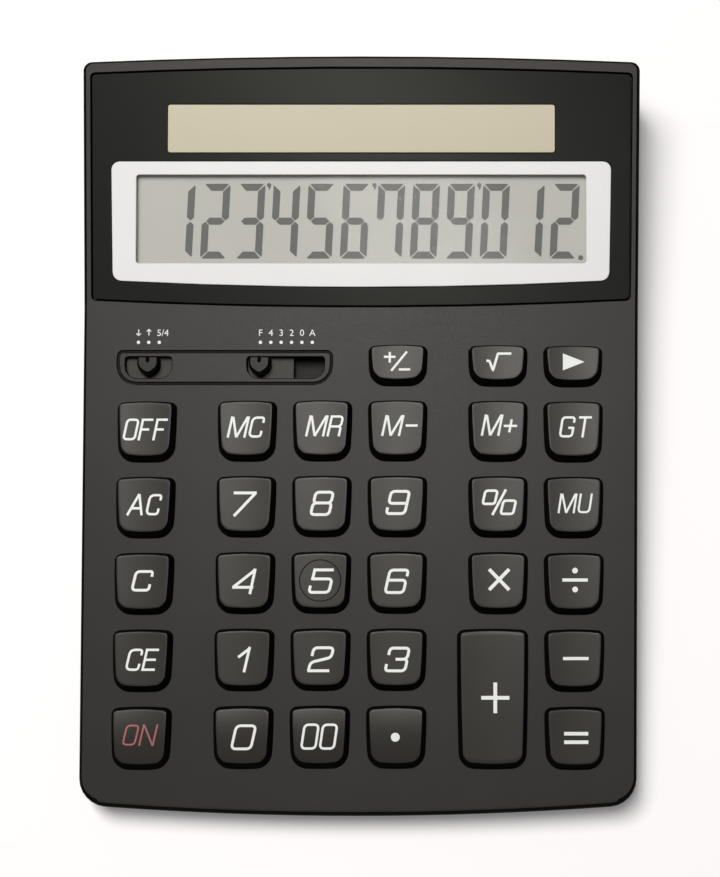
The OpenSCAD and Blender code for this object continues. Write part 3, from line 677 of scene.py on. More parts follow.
def eased_node(node, name, width, segments, finishes, chosen=is_sharp):
    """A CAD node with its sharp edges rounded."""
    obj = merged_copy(node, name)
    if width:
        ease_edges(obj, width, segments, chosen)
    smoothed(obj)
    return dressed(obj, "case", [node], finishes)


def case_parts():
    """The two shells, the feet and the plates of the display."""
    top_case()
    eased_node("bottom_case", "bottom_case_tray", 0, 0, [BASE])
    eased_node("rubber_feet", "rubber_feet_eased", 0.35 * MM, 3, [FOOT_RUBBER])
    panel_finishes = [PANEL_FINISH, PANEL_EDGE_SHADE]
    panel = eased_node(
        "display_panel", "display_panel_eased", 0.2 * MM, 2, panel_finishes, on_upper_edge
    )
    # The panel's steep walls get the painted shade
    assign(panel, 1, lambda face: deck_up(face.normal) < 0.72)
    eased_node("lcd_bezel", "display_bezel", 0.22 * MM, 3, [BEZEL], on_upper_edge)
    eased_node("solar_window", "solar_cover", 0.18 * MM, 2, [SOLAR], on_upper_edge)


# Keys

KEY_GAP = 0.3 * MM
FLANGE_W = 0.8 * MM
SIDE_BOW = 0.2 * MM
TOP_EDGE = 0.2 * MM
DISH = 0.28 * MM
# A key's outline where it leaves the deck, and that of its top: taper, then the radius of its
# corners and the bow of its edge, at the front and at the back
FOOT_SHAPE = (0.6 * MM, 3.7 * MM, 0.4 * MM, 1.6 * MM, 0.4 * MM)
TOP_SHAPE = (0.7 * MM, 2.1 * MM, 0.85 * MM, 0.9 * MM, 0.5 * MM)
# How far the top stands in from the foot
SIDE_IN, FRONT_IN, BACK_IN = 0.82 * MM, 1.45 * MM, 0.32 * MM
TOP_SHIFT = (FRONT_IN - BACK_IN) / 2
# Keys of the front row whose tops are rounded, the key with the finger mark and that with red print
FRONT_ROW = ("key_on", "key_0", "key_00", "key_point")
MIDDLE_KEY = "key_5"
RED_KEY = "key_on"
# The finger mark: a ring, its line's half width, and how far from the ring its faces lie
RING_R, RING_LINE, RING_REACH = 5.6 * MM, 0.14 * MM, 0.15 * MM


def key_outline(name, width, depth, shape):
    """A flat key outline: a tapered plate with round corners and bowed edges."""
    taper, front_r, front_bow, back_r, back_bow = shape
    size = (width, depth - front_bow - back_bow, 0)
    place = (0, (front_bow - back_bow) / 2, 0)
    obj = start_shape(bpy.ops.mesh.primitive_plane_add, name, size, place)
    edit(obj)
    for radius, back in ((front_r, False), (back_r, True)):
        pick(lambda edge: middle(edge).y > depth * 0.35 if back else middle(edge).y < -depth * 0.35)
        if not back:
            bpy.ops.transform.resize(value=((width - 2 * taper) / width, 1, 1))
        bpy.ops.mesh.select_mode(type="VERT")
        bpy.ops.mesh.bevel(offset=radius, segments=7, affect="VERTICES")
    pick(lambda edge: edge.calc_length() > 4 * MM)
    bpy.ops.mesh.subdivide(number_cuts=9)
    leave()
    bow_edges(obj, width / 2, depth / 2, front_bow, back_bow)
    return obj


def bow_edges(obj, half_w, half_d, front_bow, back_bow):
    """Bows the outline's four sides outwards."""
    for vert in obj.data.vertices:
        across = min(1, abs(vert.co.x) / half_w)
        bow = back_bow if vert.co.y > 0 else front_bow
        along = min(1, abs(vert.co.y) / (half_d - bow))
        vert.co.y += math.copysign(bow * (1 - across**2) * along**6, vert.co.y)
        vert.co.x += math.copysign(SIDE_BOW * (1 - along**2) * across**6, vert.co.x)


def ring(rise, scale=(1, 1), about=0.0):
    """Extrudes the selected face up by a step and draws it in about a point of its depth."""
    bpy.ops.mesh.extrude_region_move(TRANSFORM_OT_translate={"value": (0, 0, rise)})
    bpy.ops.transform.resize(value=(*scale, 1), center_override=(0, about, 0))


def drawn(size, inset):
    """The share of a size that an inset leaves."""
    return (size - 2 * inset) / size


def key_foot(width, depth):
    """The lower part of a key: its flange under the deck and its shank up to the deck."""
    full_w, full_d = width + 2 * FLANGE_W, depth + 2 * FLANGE_W
    obj = key_outline("key_foot", full_w, full_d, FOOT_SHAPE)
    edit(obj)
    bpy.ops.mesh.select_all(action="SELECT")
    bpy.ops.transform.translate(value=(0, 0, FLANGE_BOTTOM))
    ring(FLANGE_TOP - FLANGE_BOTTOM)
    ring(0, (drawn(full_w, FLANGE_W), drawn(full_d, FLANGE_W)))
    ring(-FLANGE_TOP)
    bpy.ops.mesh.delete(type="ONLY_FACE")
    leave()
    return obj


def key_top(width, depth, rim):
    """The upper part: a finely rounded edge round a top that is dished across."""
    obj = key_outline("key_top", width, depth, TOP_SHAPE)
    edit(obj)
    bpy.ops.mesh.select_all(action="SELECT")
    bpy.ops.transform.translate(value=(0, 0, rim))
    inset, rise = 0.0, 0.0
    for turn in (30, 60, 90):
        now = TOP_EDGE * (1 - math.cos(math.radians(turn)))
        high = TOP_EDGE * math.sin(math.radians(turn))
        share = (drawn(width, now) / drawn(width, inset), drawn(depth, now) / drawn(depth, inset))
        ring(high - rise, share)
        inset, rise = now, high
    reach = 1.0
    for share in (0.94, 0.82, 0.66, 0.46, 0.22):
        ring(0, (share / reach, share / reach))
        reach = share
    pick(lambda face: face.calc_center_median().z < rim + 1e-6, "faces")
    bpy.ops.mesh.delete(type="ONLY_FACE")
    leave()
    dish(obj, width / 2)
    return placed(obj, Matrix.Translation((0, TOP_SHIFT, 0)))


def dish(obj, half_w):
    """Hollows a key's top across its width, as a fingertip would lie on it."""
    for vert in obj.data.vertices:
        vert.co.z -= DISH * max(0, 1 - (vert.co.x / half_w) ** 2)


def key_blank(name, width, depth):
    """One key: its foot and its top, bridged by the sloped sides."""
    rim = KEY_H - TOP_EDGE
    foot_w, foot_d = width - 2 * KEY_GAP, depth - 2 * KEY_GAP
    foot = key_foot(foot_w, foot_d)
    top = key_top(foot_w - 2 * SIDE_IN, foot_d - FRONT_IN - BACK_IN, rim)
    obj = joined(name, [foot, top])
    edit(obj)
    pick(lambda edge: edge.is_boundary)
    bpy.ops.mesh.bridge_edge_loops(number_cuts=2, interpolation="LINEAR")
    turn_outwards()
    leave()
    return obj


def roll_front(obj, depth, drop=0.75 * MM):
    """The front row's tops are rounded from back to front."""
    for vert in obj.data.vertices:
        if vert.co.z > 0.2 * MM:
            share = (vert.co.y - TOP_SHIFT) / (depth / 2) - 0.25
            vert.co.z -= drop * share**2 * vert.co.z / KEY_H
    return obj


def engrave_ring(obj, half_w):
    """The finger mark of the middle key: a fine ring cut into its top."""
    bpy.ops.object.select_all(action="DESELECT")
    bpy.ops.mesh.primitive_torus_add(
        major_radius=RING_R,
        minor_radius=RING_LINE,
        major_segments=72,
        minor_segments=8,
        location=(0, TOP_SHIFT, KEY_H),
    )
    cutter = started("ring_cutter")
    bpy.ops.object.transform_apply(location=True)
    dish(cutter, half_w)
    return cut_by(obj, cutter)


def in_ring_groove(face):
    """Faces of the engraved ring, between its two edges."""
    place = face.calc_center_median() - Vector((0, TOP_SHIFT, 0))
    on_ring = abs(Vector((place.x, place.y)).length - RING_R) < RING_REACH
    return on_ring and face.calc_area() < 0.2 * MM * MM and face.normal.z < 0.97


def key_finish(obj, marked):
    """Satin top, with the sides painted dark as shade, and the engraved groove painted dark as shade as well.
    """
    for finish in (KEY_TOP, KEY_SIDE_SHADE, GROOVE_SHADE):
        obj.data.materials.append(finish)
    # Faces that turn away from the top get the painted shade
    assign(obj, 1, lambda face: face.normal.z < 0.8)
    if marked:
        # The engraved ring gets painted shade
        assign(obj, 2, in_ring_groove)
    return smoothed(obj, math.radians(40), keep_flat=False)


# Legends: pen strokes on a unit box, past whose ends the straight stems run a little

LOW, HIGH = -0.06, 1.06
BOX = ((0, 0), (1, 0), (1, 1), (0, 1))


def straight(*points):
    """A stroke with plain corners."""
    return 0, False, points


def curved(radius, *points):
    """An open stroke whose corners have this radius in millimetres."""
    return radius, False, points


def looped(radius, *points):
    """A closed stroke whose corners have this radius in millimetres."""
    return radius, True, points


STEM = straight((0, LOW), (0, HIGH))
RIGHT_STEM = straight((1, HIGH), (1, LOW))
TOP_BAR = straight((0, 1), (1, 1))
# Each glyph: its width as a share of its height, and its strokes
GLYPHS = {
    "O": (0.575, looped(1.0, *BOX)),
    "0": (0.88, looped(1.3, *BOX)),
    "0_slim": (0.6, looped(1.2, *BOX)),
    "N": (0.66, STEM, straight((0.03, 1.03), (0.97, -0.03)), straight((1, LOW), (1, HIGH))),
    "F": (0.54, STEM, TOP_BAR, straight((0, 0.5), (0.8, 0.5))),
    "E": (0.6, STEM, TOP_BAR, straight((0, 0.5), (0.92, 0.5)), straight((0, 0), (1.02, 0))),
    "M": (
        0.87,
        STEM,
        straight((0.06, 1.04), (0.5, -0.04)),
        straight((0.5, -0.04), (0.94, 1.04)),
        RIGHT_STEM,
    ),
    "C": (0.6, curved(1.35, (1, 0.72), (1, 1), (0, 1), (0, 0), (1, 0), (1, 0.3))),
    "C_wide": (0.93, curved(1.2, (1, 0.72), (1, 1), (0, 1), (0, 0), (1, 0), (1, 0.32))),
    "G": (
        0.65,
        curved(1.0, (1, 0.72), (1, 1), (0, 1), (0, 0), (1, 0), (1, 0.5)),
        straight((1, 0.45), (0.6, 0.45)),
    ),
    "R": (
        0.58,
        STEM,
        curved(1.0, (0, 0.47), (1, 0.47), (1, 1), (0, 1)),
        curved(0.7, (0.55, 0.47), (1, 0.45), (1, LOW)),
    ),
    "A": (
        0.77,
        straight((0, LOW), (0.52, HIGH)),
        straight((0.52, HIGH), (1, LOW)),
        straight((0.17, 0.31), (0.84, 0.31)),
    ),
    "T": (0.69, TOP_BAR, straight((0.5, 1), (0.5, LOW))),
    "U": (0.63, curved(1.1, (0, HIGH), (0, 0), (1, 0), (1, HIGH))),
    "1": (0.42, straight((0, 0.6), (0.95, 0.96)), RIGHT_STEM),
    "2": (
        0.85,
        curved(1.1, (0, 0.64), (0, 1), (1, 1), (1, 0.58), (0, 0.36), (0, -0.02)),
        straight((-0.05, 0), (1.06, 0)),
    ),
    "3": (
        0.86,
        curved(1.1, (0, 0.7), (0, 1), (0.97, 1), (0.97, 0.51), (0.4, 0.51)),
        curved(1.1, (0.6, 0.51), (1, 0.51), (1, 0), (0.01, 0), (0.01, 0.3)),
    ),
    "4": (0.88, straight((1, 1.0), (-0.02, 0.24)), straight((-0.06, 0.24), (1.11, 0.24)), RIGHT_STEM),
    "5": (
        0.85,
        straight((0.02, 1), (0.97, 1)),
        straight((0.02, HIGH), (0.02, 0.54)),
        curved(1.1, (0.02, 0.6), (1, 0.6), (1, 0), (0, 0), (0, 0.3)),
    ),
    "6": (0.84, curved(1.1, (1, 0.72), (1, 1), (0, 1), (0, 0), (1, 0), (1, 0.55), (0.04, 0.55))),
    "7": (0.97, straight((0, 1), (1.02, 1)), straight((0.98, 1.0), (0.27, LOW))),
    "8": (
        0.84,
        looped(1.1, (0, 0), (1, 0), (1, 0.52), (0, 0.52)),
        looped(1.1, (0.01, 0.52), (0.97, 0.52), (0.97, 1), (0.01, 1)),
    ),
    "9": (0.84, curved(1.1, (0, 0.28), (0, 0), (1, 0), (1, 1), (0, 1), (0, 0.46), (0.96, 0.46))),
    "percent": (
        1.42,
        looped(0.8, (0, 0.43), (0.37, 0.43), (0.37, 1), (0, 1)),
        looped(0.8, (0.62, 0), (1, 0), (1, 0.57), (0.62, 0.57)),
        straight((0.375, -0.05), (0.615, 1.05)),
    ),
    "dash": (0.62, straight((0, 0.5), (1, 0.5))),
    "cross": (0.66, straight((-0.06, 0.46), (1, 0.46)), straight((0.47, 0.12), (0.47, 0.8))),
}
LETTER_SPACE = 1.2 * MM
STROKE_STEP = 0.004 * MM
# The ink's thickness, and how far its middle lies above the surface
INK_T, INK_LIFT = 0.03 * MM, 0.012 * MM
# Each key's legend: its glyphs, its width and height over all, pen, slant, and its centre's
# place on the key, all in millimetres
LEGENDS = {
    "key_off": ("OFF", 12.6, 6.0, 0.64, 0.2, (0.24, -0.15)),
    "key_mc": ("MC", 10.5, 5.85, 0.64, 0.21, (-0.03, 0.3)),
    "key_mr": ("MR", 10.55, 5.8, 0.64, 0.21, (0.74, 0.55)),
    "key_m_minus": (("M", "dash"), 10.35, 5.75, 0.64, 0.21, (0.74, 0.65)),
    "key_m_plus": (("M", "cross"), 10.3, 5.85, 0.64, 0.2, (0.39, 0.87)),
    "key_gt": ("GT", 9.3, 5.85, 0.64, 0.165, (0.69, 0.57)),
    "key_ac": ("AC", 9.85, 5.85, 0.66, 0.21, (0.12, 0.07)),
    "key_mu": ("MU", 9.7, 5.35, 0.56, 0.16, (0.33, 0.43)),
    "key_c": (("C_wide",), 6.05, 5.8, 0.74, 0.23, (0.07, 0.2)),
    "key_ce": ("CE", 9.3, 5.97, 0.64, 0.21, (0.59, -0.23)),
    "key_on": ("ON", 9.65, 5.55, 0.46, 0.21, (0.28, 0.48)),
    "key_7": ("7", 7.05, 6.75, 0.78, 0.23, (0.03, 0.09)),
    "key_8": ("8", 6.6, 6.9, 0.78, 0.23, (0.3, 0.14)),
    "key_9": ("9", 6.8, 6.85, 0.78, 0.23, (0.3, 0.39)),
    "key_percent": (("percent",), 9.55, 7.05, 0.7, 0.23, (0.33, 0.56)),
    "key_4": ("4", 6.95, 6.9, 0.76, 0.23, (-0.05, -0.16)),
    "key_5": ("5", 7.3, 6.85, 0.78, 0.23, (0.38, -0.16)),
    "key_6": ("6", 6.75, 6.87, 0.78, 0.23, (0.08, -0.21)),
    "key_1": ("1", 3.85, 6.85, 0.74, 0.23, (0.27, -0.4)),
    "key_2": ("2", 7.6, 6.95, 0.78, 0.23, (0.17, -0.38)),
    "key_3": ("3", 7.0, 6.87, 0.78, 0.23, (0.31, -0.44)),
    "key_0": ("0", 6.9, 6.9, 0.72, 0.23, (0.44, -0.33)),
    "key_00": (("0_slim", "0_slim"), 10.05, 7.02, 0.66, 0.145, (0.11, -0.23)),
}


def rounded_path(points, radius, closed):
    """The stroke's points with its corners rounded."""
    count = len(points)
    path = []
    for i, corner in enumerate(points):
        ends = not closed and i in (0, count - 1)
        if ends or radius == 0:
            path.append(corner)
            continue
        before, after = points[i - 1], points[(i + 1) % count]
        to_before, to_after = before - corner, after - corner
        reach = min(radius, to_before.length * 0.5, to_after.length * 0.5)
        first = corner + to_before.normalized() * reach
        last = corner + to_after.normalized() * reach
        for k in range(7):
            t = k / 6
            path.append(first * (1 - t) ** 2 + corner * 2 * t * (1 - t) + last * t**2)
    return path


def with_steps(path, closed, step=0.4 * MM):
    """The path with enough points along it to follow a curved top."""
    ends = path[1:] + path[:1] if closed else path[1:]
    fine = []
    for start, end in zip(path, ends):
        count = max(1, round((end - start).length / step))
        fine.extend(start.lerp(end, k / count) for k in range(count))
    return fine if closed else fine + [path[-1]]


def pen_nib(width):
    """A straight nib of the pen's width, which the strokes are drawn with."""
    curve = bpy.data.curves.new("nib", "CURVE")
    spline = curve.splines.new("POLY")
    spline.points.add(1)
    spline.points[0].co = (-width / 2, 0, 0, 1)
    spline.points[1].co = (width / 2, 0, 0, 1)
    nib = bpy.data.objects.new("nib", curve)
    bpy.context.scene.collection.objects.link(nib)
    return nib


def drawn_strokes(name, paths, width):
    """Flat pen strokes as one mesh, each a hair above the one before."""
    nib = pen_nib(width)
    curve = bpy.data.curves.new(name, "CURVE")
    curve.dimensions = "3D"
    curve.twist_mode = "Z_UP"
    curve.bevel_mode = "OBJECT"
    curve.bevel_object = nib
    for layer, (closed, corners) in enumerate(paths):
        path = with_steps(corners, closed)
        spline = curve.splines.new("POLY")
        spline.points.add(len(path) - 1)
        spline.use_cyclic_u = closed
        for point, co in zip(spline.points, path):
            point.co = (co.x, co.y, layer * STROKE_STEP, 1)
    obj = bpy.data.objects.new(name, curve)
    bpy.context.scene.collection.objects.link(obj)
    take(obj)
    bpy.ops.object.convert(target="MESH")
    bpy.data.objects.remove(nib)
    return started(name)


def word(glyphs, width, height, pen, slant):
    """The strokes of a word, fitted to its width and height and centred on the origin."""
    paths, pen_x = [], 0.0
    tall = (height - pen) * MM
    for glyph in glyphs:
        share, *strokes = GLYPHS[glyph]
        wide = share * tall
        for radius, closed, points in strokes:
            spots = [Vector((pen_x + x * wide + y * tall * slant, y * tall)) for x, y in points]
            paths.append((closed, rounded_path(spots, radius * MM, closed)))
        pen_x += wide + LETTER_SPACE
    spots = [spot for _, path in paths for spot in path]
    left, right = min(p.x for p in spots), max(p.x for p in spots)
    fit = (width - pen) * MM / (right - left)
    return [(closed, [fitted(p, (left + right) / 2, tall / 2, fit) for p in path]) for closed, path in paths]


def fitted(point, middle_x, middle_y, fit):
    """A point of a word, centred and brought to the word's width."""
    return Vector(((point.x - middle_x) * fit, point.y - middle_y))


def spot(name, x, y, radius, corners=24):
    """A flat round spot of print."""
    bpy.ops.object.select_all(action="DESELECT")
    bpy.ops.mesh.primitive_circle_add(vertices=corners, radius=radius, fill_type="NGON", location=(x, y, 0))
    obj = started(name)
    bpy.ops.object.transform_apply(location=True)
    return obj


# Upright signs: strokes in millimetres, pen, dots with their radius, and their place on the key
SIGNS = {
    "key_plus": ([((-3.8, 0), (3.8, 0)), ((0, -4.1), (0, 4.1))], 1.0, [], (0.71, -0.17)),
    "key_minus": ([((-3.45, 0), (3.45, 0))], 0.85, [], (0.28, 0.1)),
    "key_equals": ([((-3.25, 1.13), (3.25, 1.13)), ((-3.25, -1.13), (3.25, -1.13))], 0.95, [], (0.27, -0.28)),
    "key_times": ([((-2.72, -2.8), (2.72, 2.8)), ((-2.72, 2.8), (2.72, -2.8))], 0.95, [], (0.27, 0.38)),
    "key_divide": ([((-3.45, 0), (3.45, 0))], 0.88, [(0, 2.55, 0.78), (0, -2.55, 0.78)], (0.19, 0.43)),
    "key_point": ([], 0, [(0, 0, 1.2)], (-0.11, -0.38)),
    "key_sign": (
        [
            ((-3.6, 1.3), (-0.4, 1.3)),
            ((-2.0, -0.3), (-2.0, 2.65)),
            ((-1.6, -2.6), (2.7, 2.75)),
            ((0.5, -2.2), (3.65, -2.2)),
        ],
        0.62,
        [],
        (-0.13, 0.19),
    ),
    "key_root": (
        [((-3.4, 0.3), (-2.6, 0.3), (-1.6, -2.4), (-0.25, 2.3), (3.45, 2.3))],
        0.66,
        [],
        (0.24, 0.2),
    ),
    "key_backspace": ([], 0, [], (0.1, 0.36)),
}
# The corners of the backspace key's arrow head, in millimetres
ARROW = ((3.0, 0), (-2.95, 2.35), (-2.95, -2.35))


def legend(key, top):
    """A key's printed legend, laid on its top."""
    name = "legend_" + key[4:]
    if key in LEGENDS:
        glyphs, width, height, pen, slant, place = LEGENDS[key]
        parts = [drawn_strokes(name, word(glyphs, width, height, pen, slant), pen * MM)]
    else:
        strokes, pen, dots, place = SIGNS[key]
        paths = [(False, [Vector(p) * MM for p in stroke]) for stroke in strokes]
        parts = [drawn_strokes(name, paths, pen * MM)] if paths else []
        parts += [spot(name, x * MM, y * MM, radius * MM) for x, y, radius in dots]
    if key == "key_backspace":
        parts.append(arrow_head(name))
    obj = joined(name, parts)
    placed(obj, Matrix.Translation((place[0] * MM, TOP_SHIFT + place[1] * MM, 0)))
    return lay_print(obj, top)


def arrow_head(name):
    """A filled triangle that points right."""
    obj = spot(name, 0, 0, 1 * MM, corners=3)
    for vert, (x, y) in zip(obj.data.vertices, ARROW):
        vert.co = (x * MM, y * MM, 0)
    edit(obj)
    bpy.ops.mesh.select_all(action="SELECT")
    bpy.ops.mesh.subdivide(number_cuts=7)
    leave()
    return obj


def lay_print(obj, surface):
    """Lays flat print on a surface below it and gives it the thickness of ink."""
    edit(obj)
    bpy.ops.mesh.select_all(action="SELECT")
    bpy.ops.mesh.remove_doubles(threshold=0.001 * MM)
    turn_outwards()
    leave()
    face_up(obj)
    for vert in obj.data.vertices:
        above = Vector((vert.co.x, vert.co.y, 2 * KEY_H))
        found, point, _, _ = surface.ray_cast(above, Vector((0, 0, -1)))
        if found:
            vert.co.z += point.z + INK_LIFT
    thickened(obj, INK_T, 0)
    bpy.ops.object.shade_flat()
    return obj


def face_up(obj):
    """Turns flat faces to look up."""
    for face in obj.data.polygons:
        if face.normal.z < 0:
            face.flip()


def keys():
    """All thirty-two keys with their legends."""
    blanks = {}
    hole_gap = 2 * (FLANGE_W - KEY_GAP)
    for node in sorted(n for n in frame["nodes"] if n.startswith("key_")):
        low, high = deck_box(node)
        width, depth = high.x - low.x - hole_gap, high.y - low.y - hole_gap
        rolled, marked = node in FRONT_ROW, node == MIDDLE_KEY
        kind = (round(width / MM, 1), round(depth / MM, 1), rolled, marked)
        if kind not in blanks:
            blank = key_blank("key_blank", width, depth)
            if rolled:
                roll_front(blank, depth)
            if marked:
                engrave_ring(blank, width / 2 - KEY_GAP - SIDE_IN)
            blanks[kind] = key_finish(blank, marked)
        key = copied(blanks[kind], node + "_cap")
        print_piece = legend(node, blanks[kind])
        seat = DECK @ Matrix.Translation(((low.x + high.x) / 2, (low.y + high.y) / 2, 0))
        placed(key, seat)
        placed(print_piece, seat)
        dressed(key, node, [node])
        dressed(print_piece, node, finishes=[RED_INK if node == RED_KEY else INK])
    for blank in blanks.values():
        bpy.data.objects.remove(blank)


# Display

# Digits in panel coordinates: their size and spacing, the first one's middle, their foot and lean
DIGIT_W, DIGIT_H, DIGIT_PITCH = 7.49 * MM, 21.0 * MM, 9.75 * MM
FIRST_U, DIGIT_V = -50.62 * MM, 11.7 * MM
DIGIT_LEAN = math.tan(math.radians(2.8))
# Segments: thickness, the gap between two, and how far a digit's outer corners are rounded and cut
SEGMENT_T, SEGMENT_GAP = 2.0 * MM, 0.3 * MM
CORNER_R, CORNER_CUT = 1.0 * MM, 0.29 * MM
# Lit segments of the digits 0 to 9: a at the top, b to f clockwise from there, g in the middle
LIT = ("abcdef", "bc", "abged", "abgcd", "fgbc", "afgcd", "afgedc", "fabc", "abcdefg", "abcdfg")
# The thousands ticks, how far their heads lie below the digits' top, and the decimal point
TICKS_U, TICK_DROP = (-25.9 * MM, 3.55 * MM, 32.8 * MM), 0.4 * MM
POINT_U, POINT_RISE, POINT_R = 61.1 * MM, 0.25 * MM, 0.72 * MM
FILM_T, FILM_LIFT = 0.02 * MM, 0.01 * MM


def segment_faces(digit):
    """The lit segments of one digit as flat polygons, from its lower left corner."""
    wide, tall, thick = DIGIT_W, DIGIT_H, SEGMENT_T
    half, mid, gap = thick / 2, tall / 2, SEGMENT_GAP / 2
    shapes = {
        "a": [
            (CORNER_CUT + gap, tall - CORNER_CUT + gap),
            (CORNER_R, tall),
            (wide - CORNER_R, tall),
            (wide - CORNER_CUT - gap, tall - CORNER_CUT + gap),
            (wide - thick - gap, tall - thick),
            (thick + gap, tall - thick),
        ],
        "f": [
            (0, tall - CORNER_R),
            (CORNER_CUT - gap, tall - CORNER_CUT - gap),
            (thick, tall - thick - gap),
            (thick, mid + half + gap),
            (half, mid + gap),
            (0, mid + half),
        ],
        "g": [
            (half + gap, mid),
            (thick + gap, mid + half),
            (wide - thick - gap, mid + half),
            (wide - half - gap, mid),
            (wide - thick - gap, mid - half),
            (thick + gap, mid - half),
        ],
    }
    shapes["d"] = [(x, tall - y) for x, y in shapes["a"]]
    shapes["e"] = [(x, tall - y) for x, y in shapes["f"]]
    shapes["b"] = [(wide - x, y) for x, y in shapes["f"]]
    shapes["c"] = [(wide - x, y) for x, y in shapes["e"]]
    return [shapes[segment] for segment in LIT[int(digit)]]


def display_digits():
    """The number on the display, as thin dark segments on the cell."""
    shapes = []
    for i, digit in enumerate("123456789012"):
        left = FIRST_U + i * DIGIT_PITCH - DIGIT_W / 2
        for face in segment_faces(digit):
            shapes.append([(left + x + (y - DIGIT_H / 2) * DIGIT_LEAN, DIGIT_V + y, 0) for x, y in face])
    shapes += [tick_points(u, DIGIT_V + DIGIT_H - TICK_DROP) for u in TICKS_U]
    shapes.append(dot_points(POINT_U, DIGIT_V + POINT_RISE, POINT_R))
    verts, faces = [], []
    for shape in shapes:
        faces.append(list(range(len(verts), len(verts) + len(shape))))
        verts.extend(shape)
    mesh = bpy.data.meshes.new("display_digits")
    mesh.from_pydata(verts, [], faces)
    obj = bpy.data.objects.new("display_digits", mesh)
    bpy.context.scene.collection.objects.link(obj)
    face_up(obj)
    thickened(obj, FILM_T, 1)
    placed(obj, PANEL @ Matrix.Translation((0, 0, CELL_TOP + FILM_LIFT)))
    return dressed(obj, "case", finishes=[SEGMENT])


def dot_points(u, v, radius, corners=20):
    """The corners of a round dot."""
    turns = [2 * math.pi * k / corners for k in range(corners)]
    return [(u + radius * math.cos(t), v + radius * math.sin(t), 0) for t in turns]


def tick_points(u, v):
    """A small thousands tick: a round head with a tail."""
    head = 0.62 * MM
    turns = [math.radians(a) for a in range(-20, 221, 30)]
    points = [(u + head * math.cos(t), v + head * math.sin(t), 0) for t in turns]
    tail = ((-0.15, -0.6), (-0.1, -1.5), (0.35, -0.9))
    return points + [(u + x * MM, v + y * MM, 0) for x, y in tail]


# Slide switches

SWITCH_V = 122.19 * MM
KNOB_W, KNOB_D, KNOB_H = 6.0 * MM, 5.5 * MM, 1.4 * MM
# The upright foot of a knob, then the steps of its sides up to its top: rise, draw, and the depth
# that they draw in about
KNOB_FOOT = 0.3 * MM
KNOB_STEPS = (
    (KNOB_H - 0.6 * MM, (0.87, 0.82), KNOB_D / 2 - 0.1 * MM),
    (0.22 * MM, (0.96, 0.96), 0.7 * MM),
    (0.08 * MM, (0.93, 0.93), 0.7 * MM),
)
NOTCH_SIZE = (1.0 * MM, 3 * MM, 1.4 * MM)
NOTCH_FRONT, NOTCH_R = 1.2 * MM, 0.48 * MM
PLATE_D, PLATE_R = 7.6 * MM, 0.8 * MM
HEEL_W, HEEL_IN = 5 * MM, 1.4 * MM
# The scales: places of the dots, and the levels of dots and marks
ROUND_DOTS = (-61.5 * MM, -58.65 * MM, -55.75 * MM)
DECIMAL_DOTS = [(-27.75 + 2.87 * i) * MM for i in range(6)]
DOT_V, DOT_R, MARK_V, MARK_SIZE = 129.2 * MM, 0.47 * MM, 131.0 * MM, 2.6 * MM
HALF_MARK_U, ARROW_RISE = -54.8 * MM, 0.95 * MM


def knob(node, name, body):
    """A slide knob: a shield-shaped cap with a notch, on its slider plate."""
    low, high = deck_box(node)
    cap = shield()
    edit(cap)
    bpy.ops.mesh.select_all(action="SELECT")
    bpy.ops.transform.translate(value=(0, 0, FLANGE_TOP))
    ring(-FLANGE_TOP + KNOB_FOOT)
    for rise, draw, about in KNOB_STEPS:
        ring(rise, draw, about)
    turn_outwards()
    leave()
    notch_in(cap)
    obj = joined(name, [cap, slider_plate(low, high)])
    for finish in (KNOB_TOP, KEY_SIDE_SHADE, SLIDER, NOTCH_SHADE):
        obj.data.materials.append(finish)
    # The knob's sides get the painted shade of the key sides
    assign(obj, 1, lambda face: face.normal.z < 0.8)
    # The notch's floor gets painted shade
    assign(obj, 3, on_notch_floor)
    assign(obj, 2, lambda face: face.calc_center_median().z < FLANGE_TOP + 0.01 * MM)
    smoothed(obj)
    placed(obj, DECK @ Matrix.Translation(((low.x + high.x) / 2, SWITCH_V, 0)))
    return dressed(obj, body, [node])


def shield():
    """A flat rounded shield that points to the front."""
    obj = start_shape(bpy.ops.mesh.primitive_plane_add, "knob_cap", (KNOB_W, KNOB_D, 0))
    edit(obj)
    pick(lambda edge: middle(edge).y < -0.4 * KNOB_D)
    bpy.ops.mesh.subdivide(number_cuts=1)
    pick(lambda vert: vert.co.y < 0 and abs(vert.co.x) > 0.4 * KNOB_W, "verts")
    bpy.ops.transform.translate(value=(0, 0.42 * KNOB_D, 0))
    rounds = (
        (0.5 * MM, lambda vert: vert.co.y > 0.45 * KNOB_D),
        (1.0 * MM, lambda vert: vert.co.y < -0.45 * KNOB_D),
        (1.3 * MM, lambda vert: abs(vert.co.x) > 0.49 * KNOB_W and abs(vert.co.y) < 0.2 * KNOB_D),
    )
    for radius, corner in rounds:
        pick(corner, "verts")
        bpy.ops.mesh.bevel(offset=radius, segments=6, affect="VERTICES")
    leave()
    return obj


def notch_in(cap):
    """The small U-shaped finger notch at the back of a knob's top."""
    place = (0, NOTCH_FRONT + NOTCH_SIZE[1] / 2, KNOB_H)
    cutter = start_shape(bpy.ops.mesh.primitive_cube_add, "notch_cutter", NOTCH_SIZE, place)
    edit(cutter)
    pick(lambda edge: stands_up(edge) and middle(edge).y < place[1])
    bpy.ops.mesh.bevel(offset=NOTCH_R, segments=5, affect="EDGES")
    leave()
    return cut_by(cap, cutter)


def on_notch_floor(face):
    """The notch's floor, between the deck and the knob's top."""
    return 0.4 * MM < face.calc_center_median().z < KNOB_H - 0.5 * MM and face.normal.z > 0.8


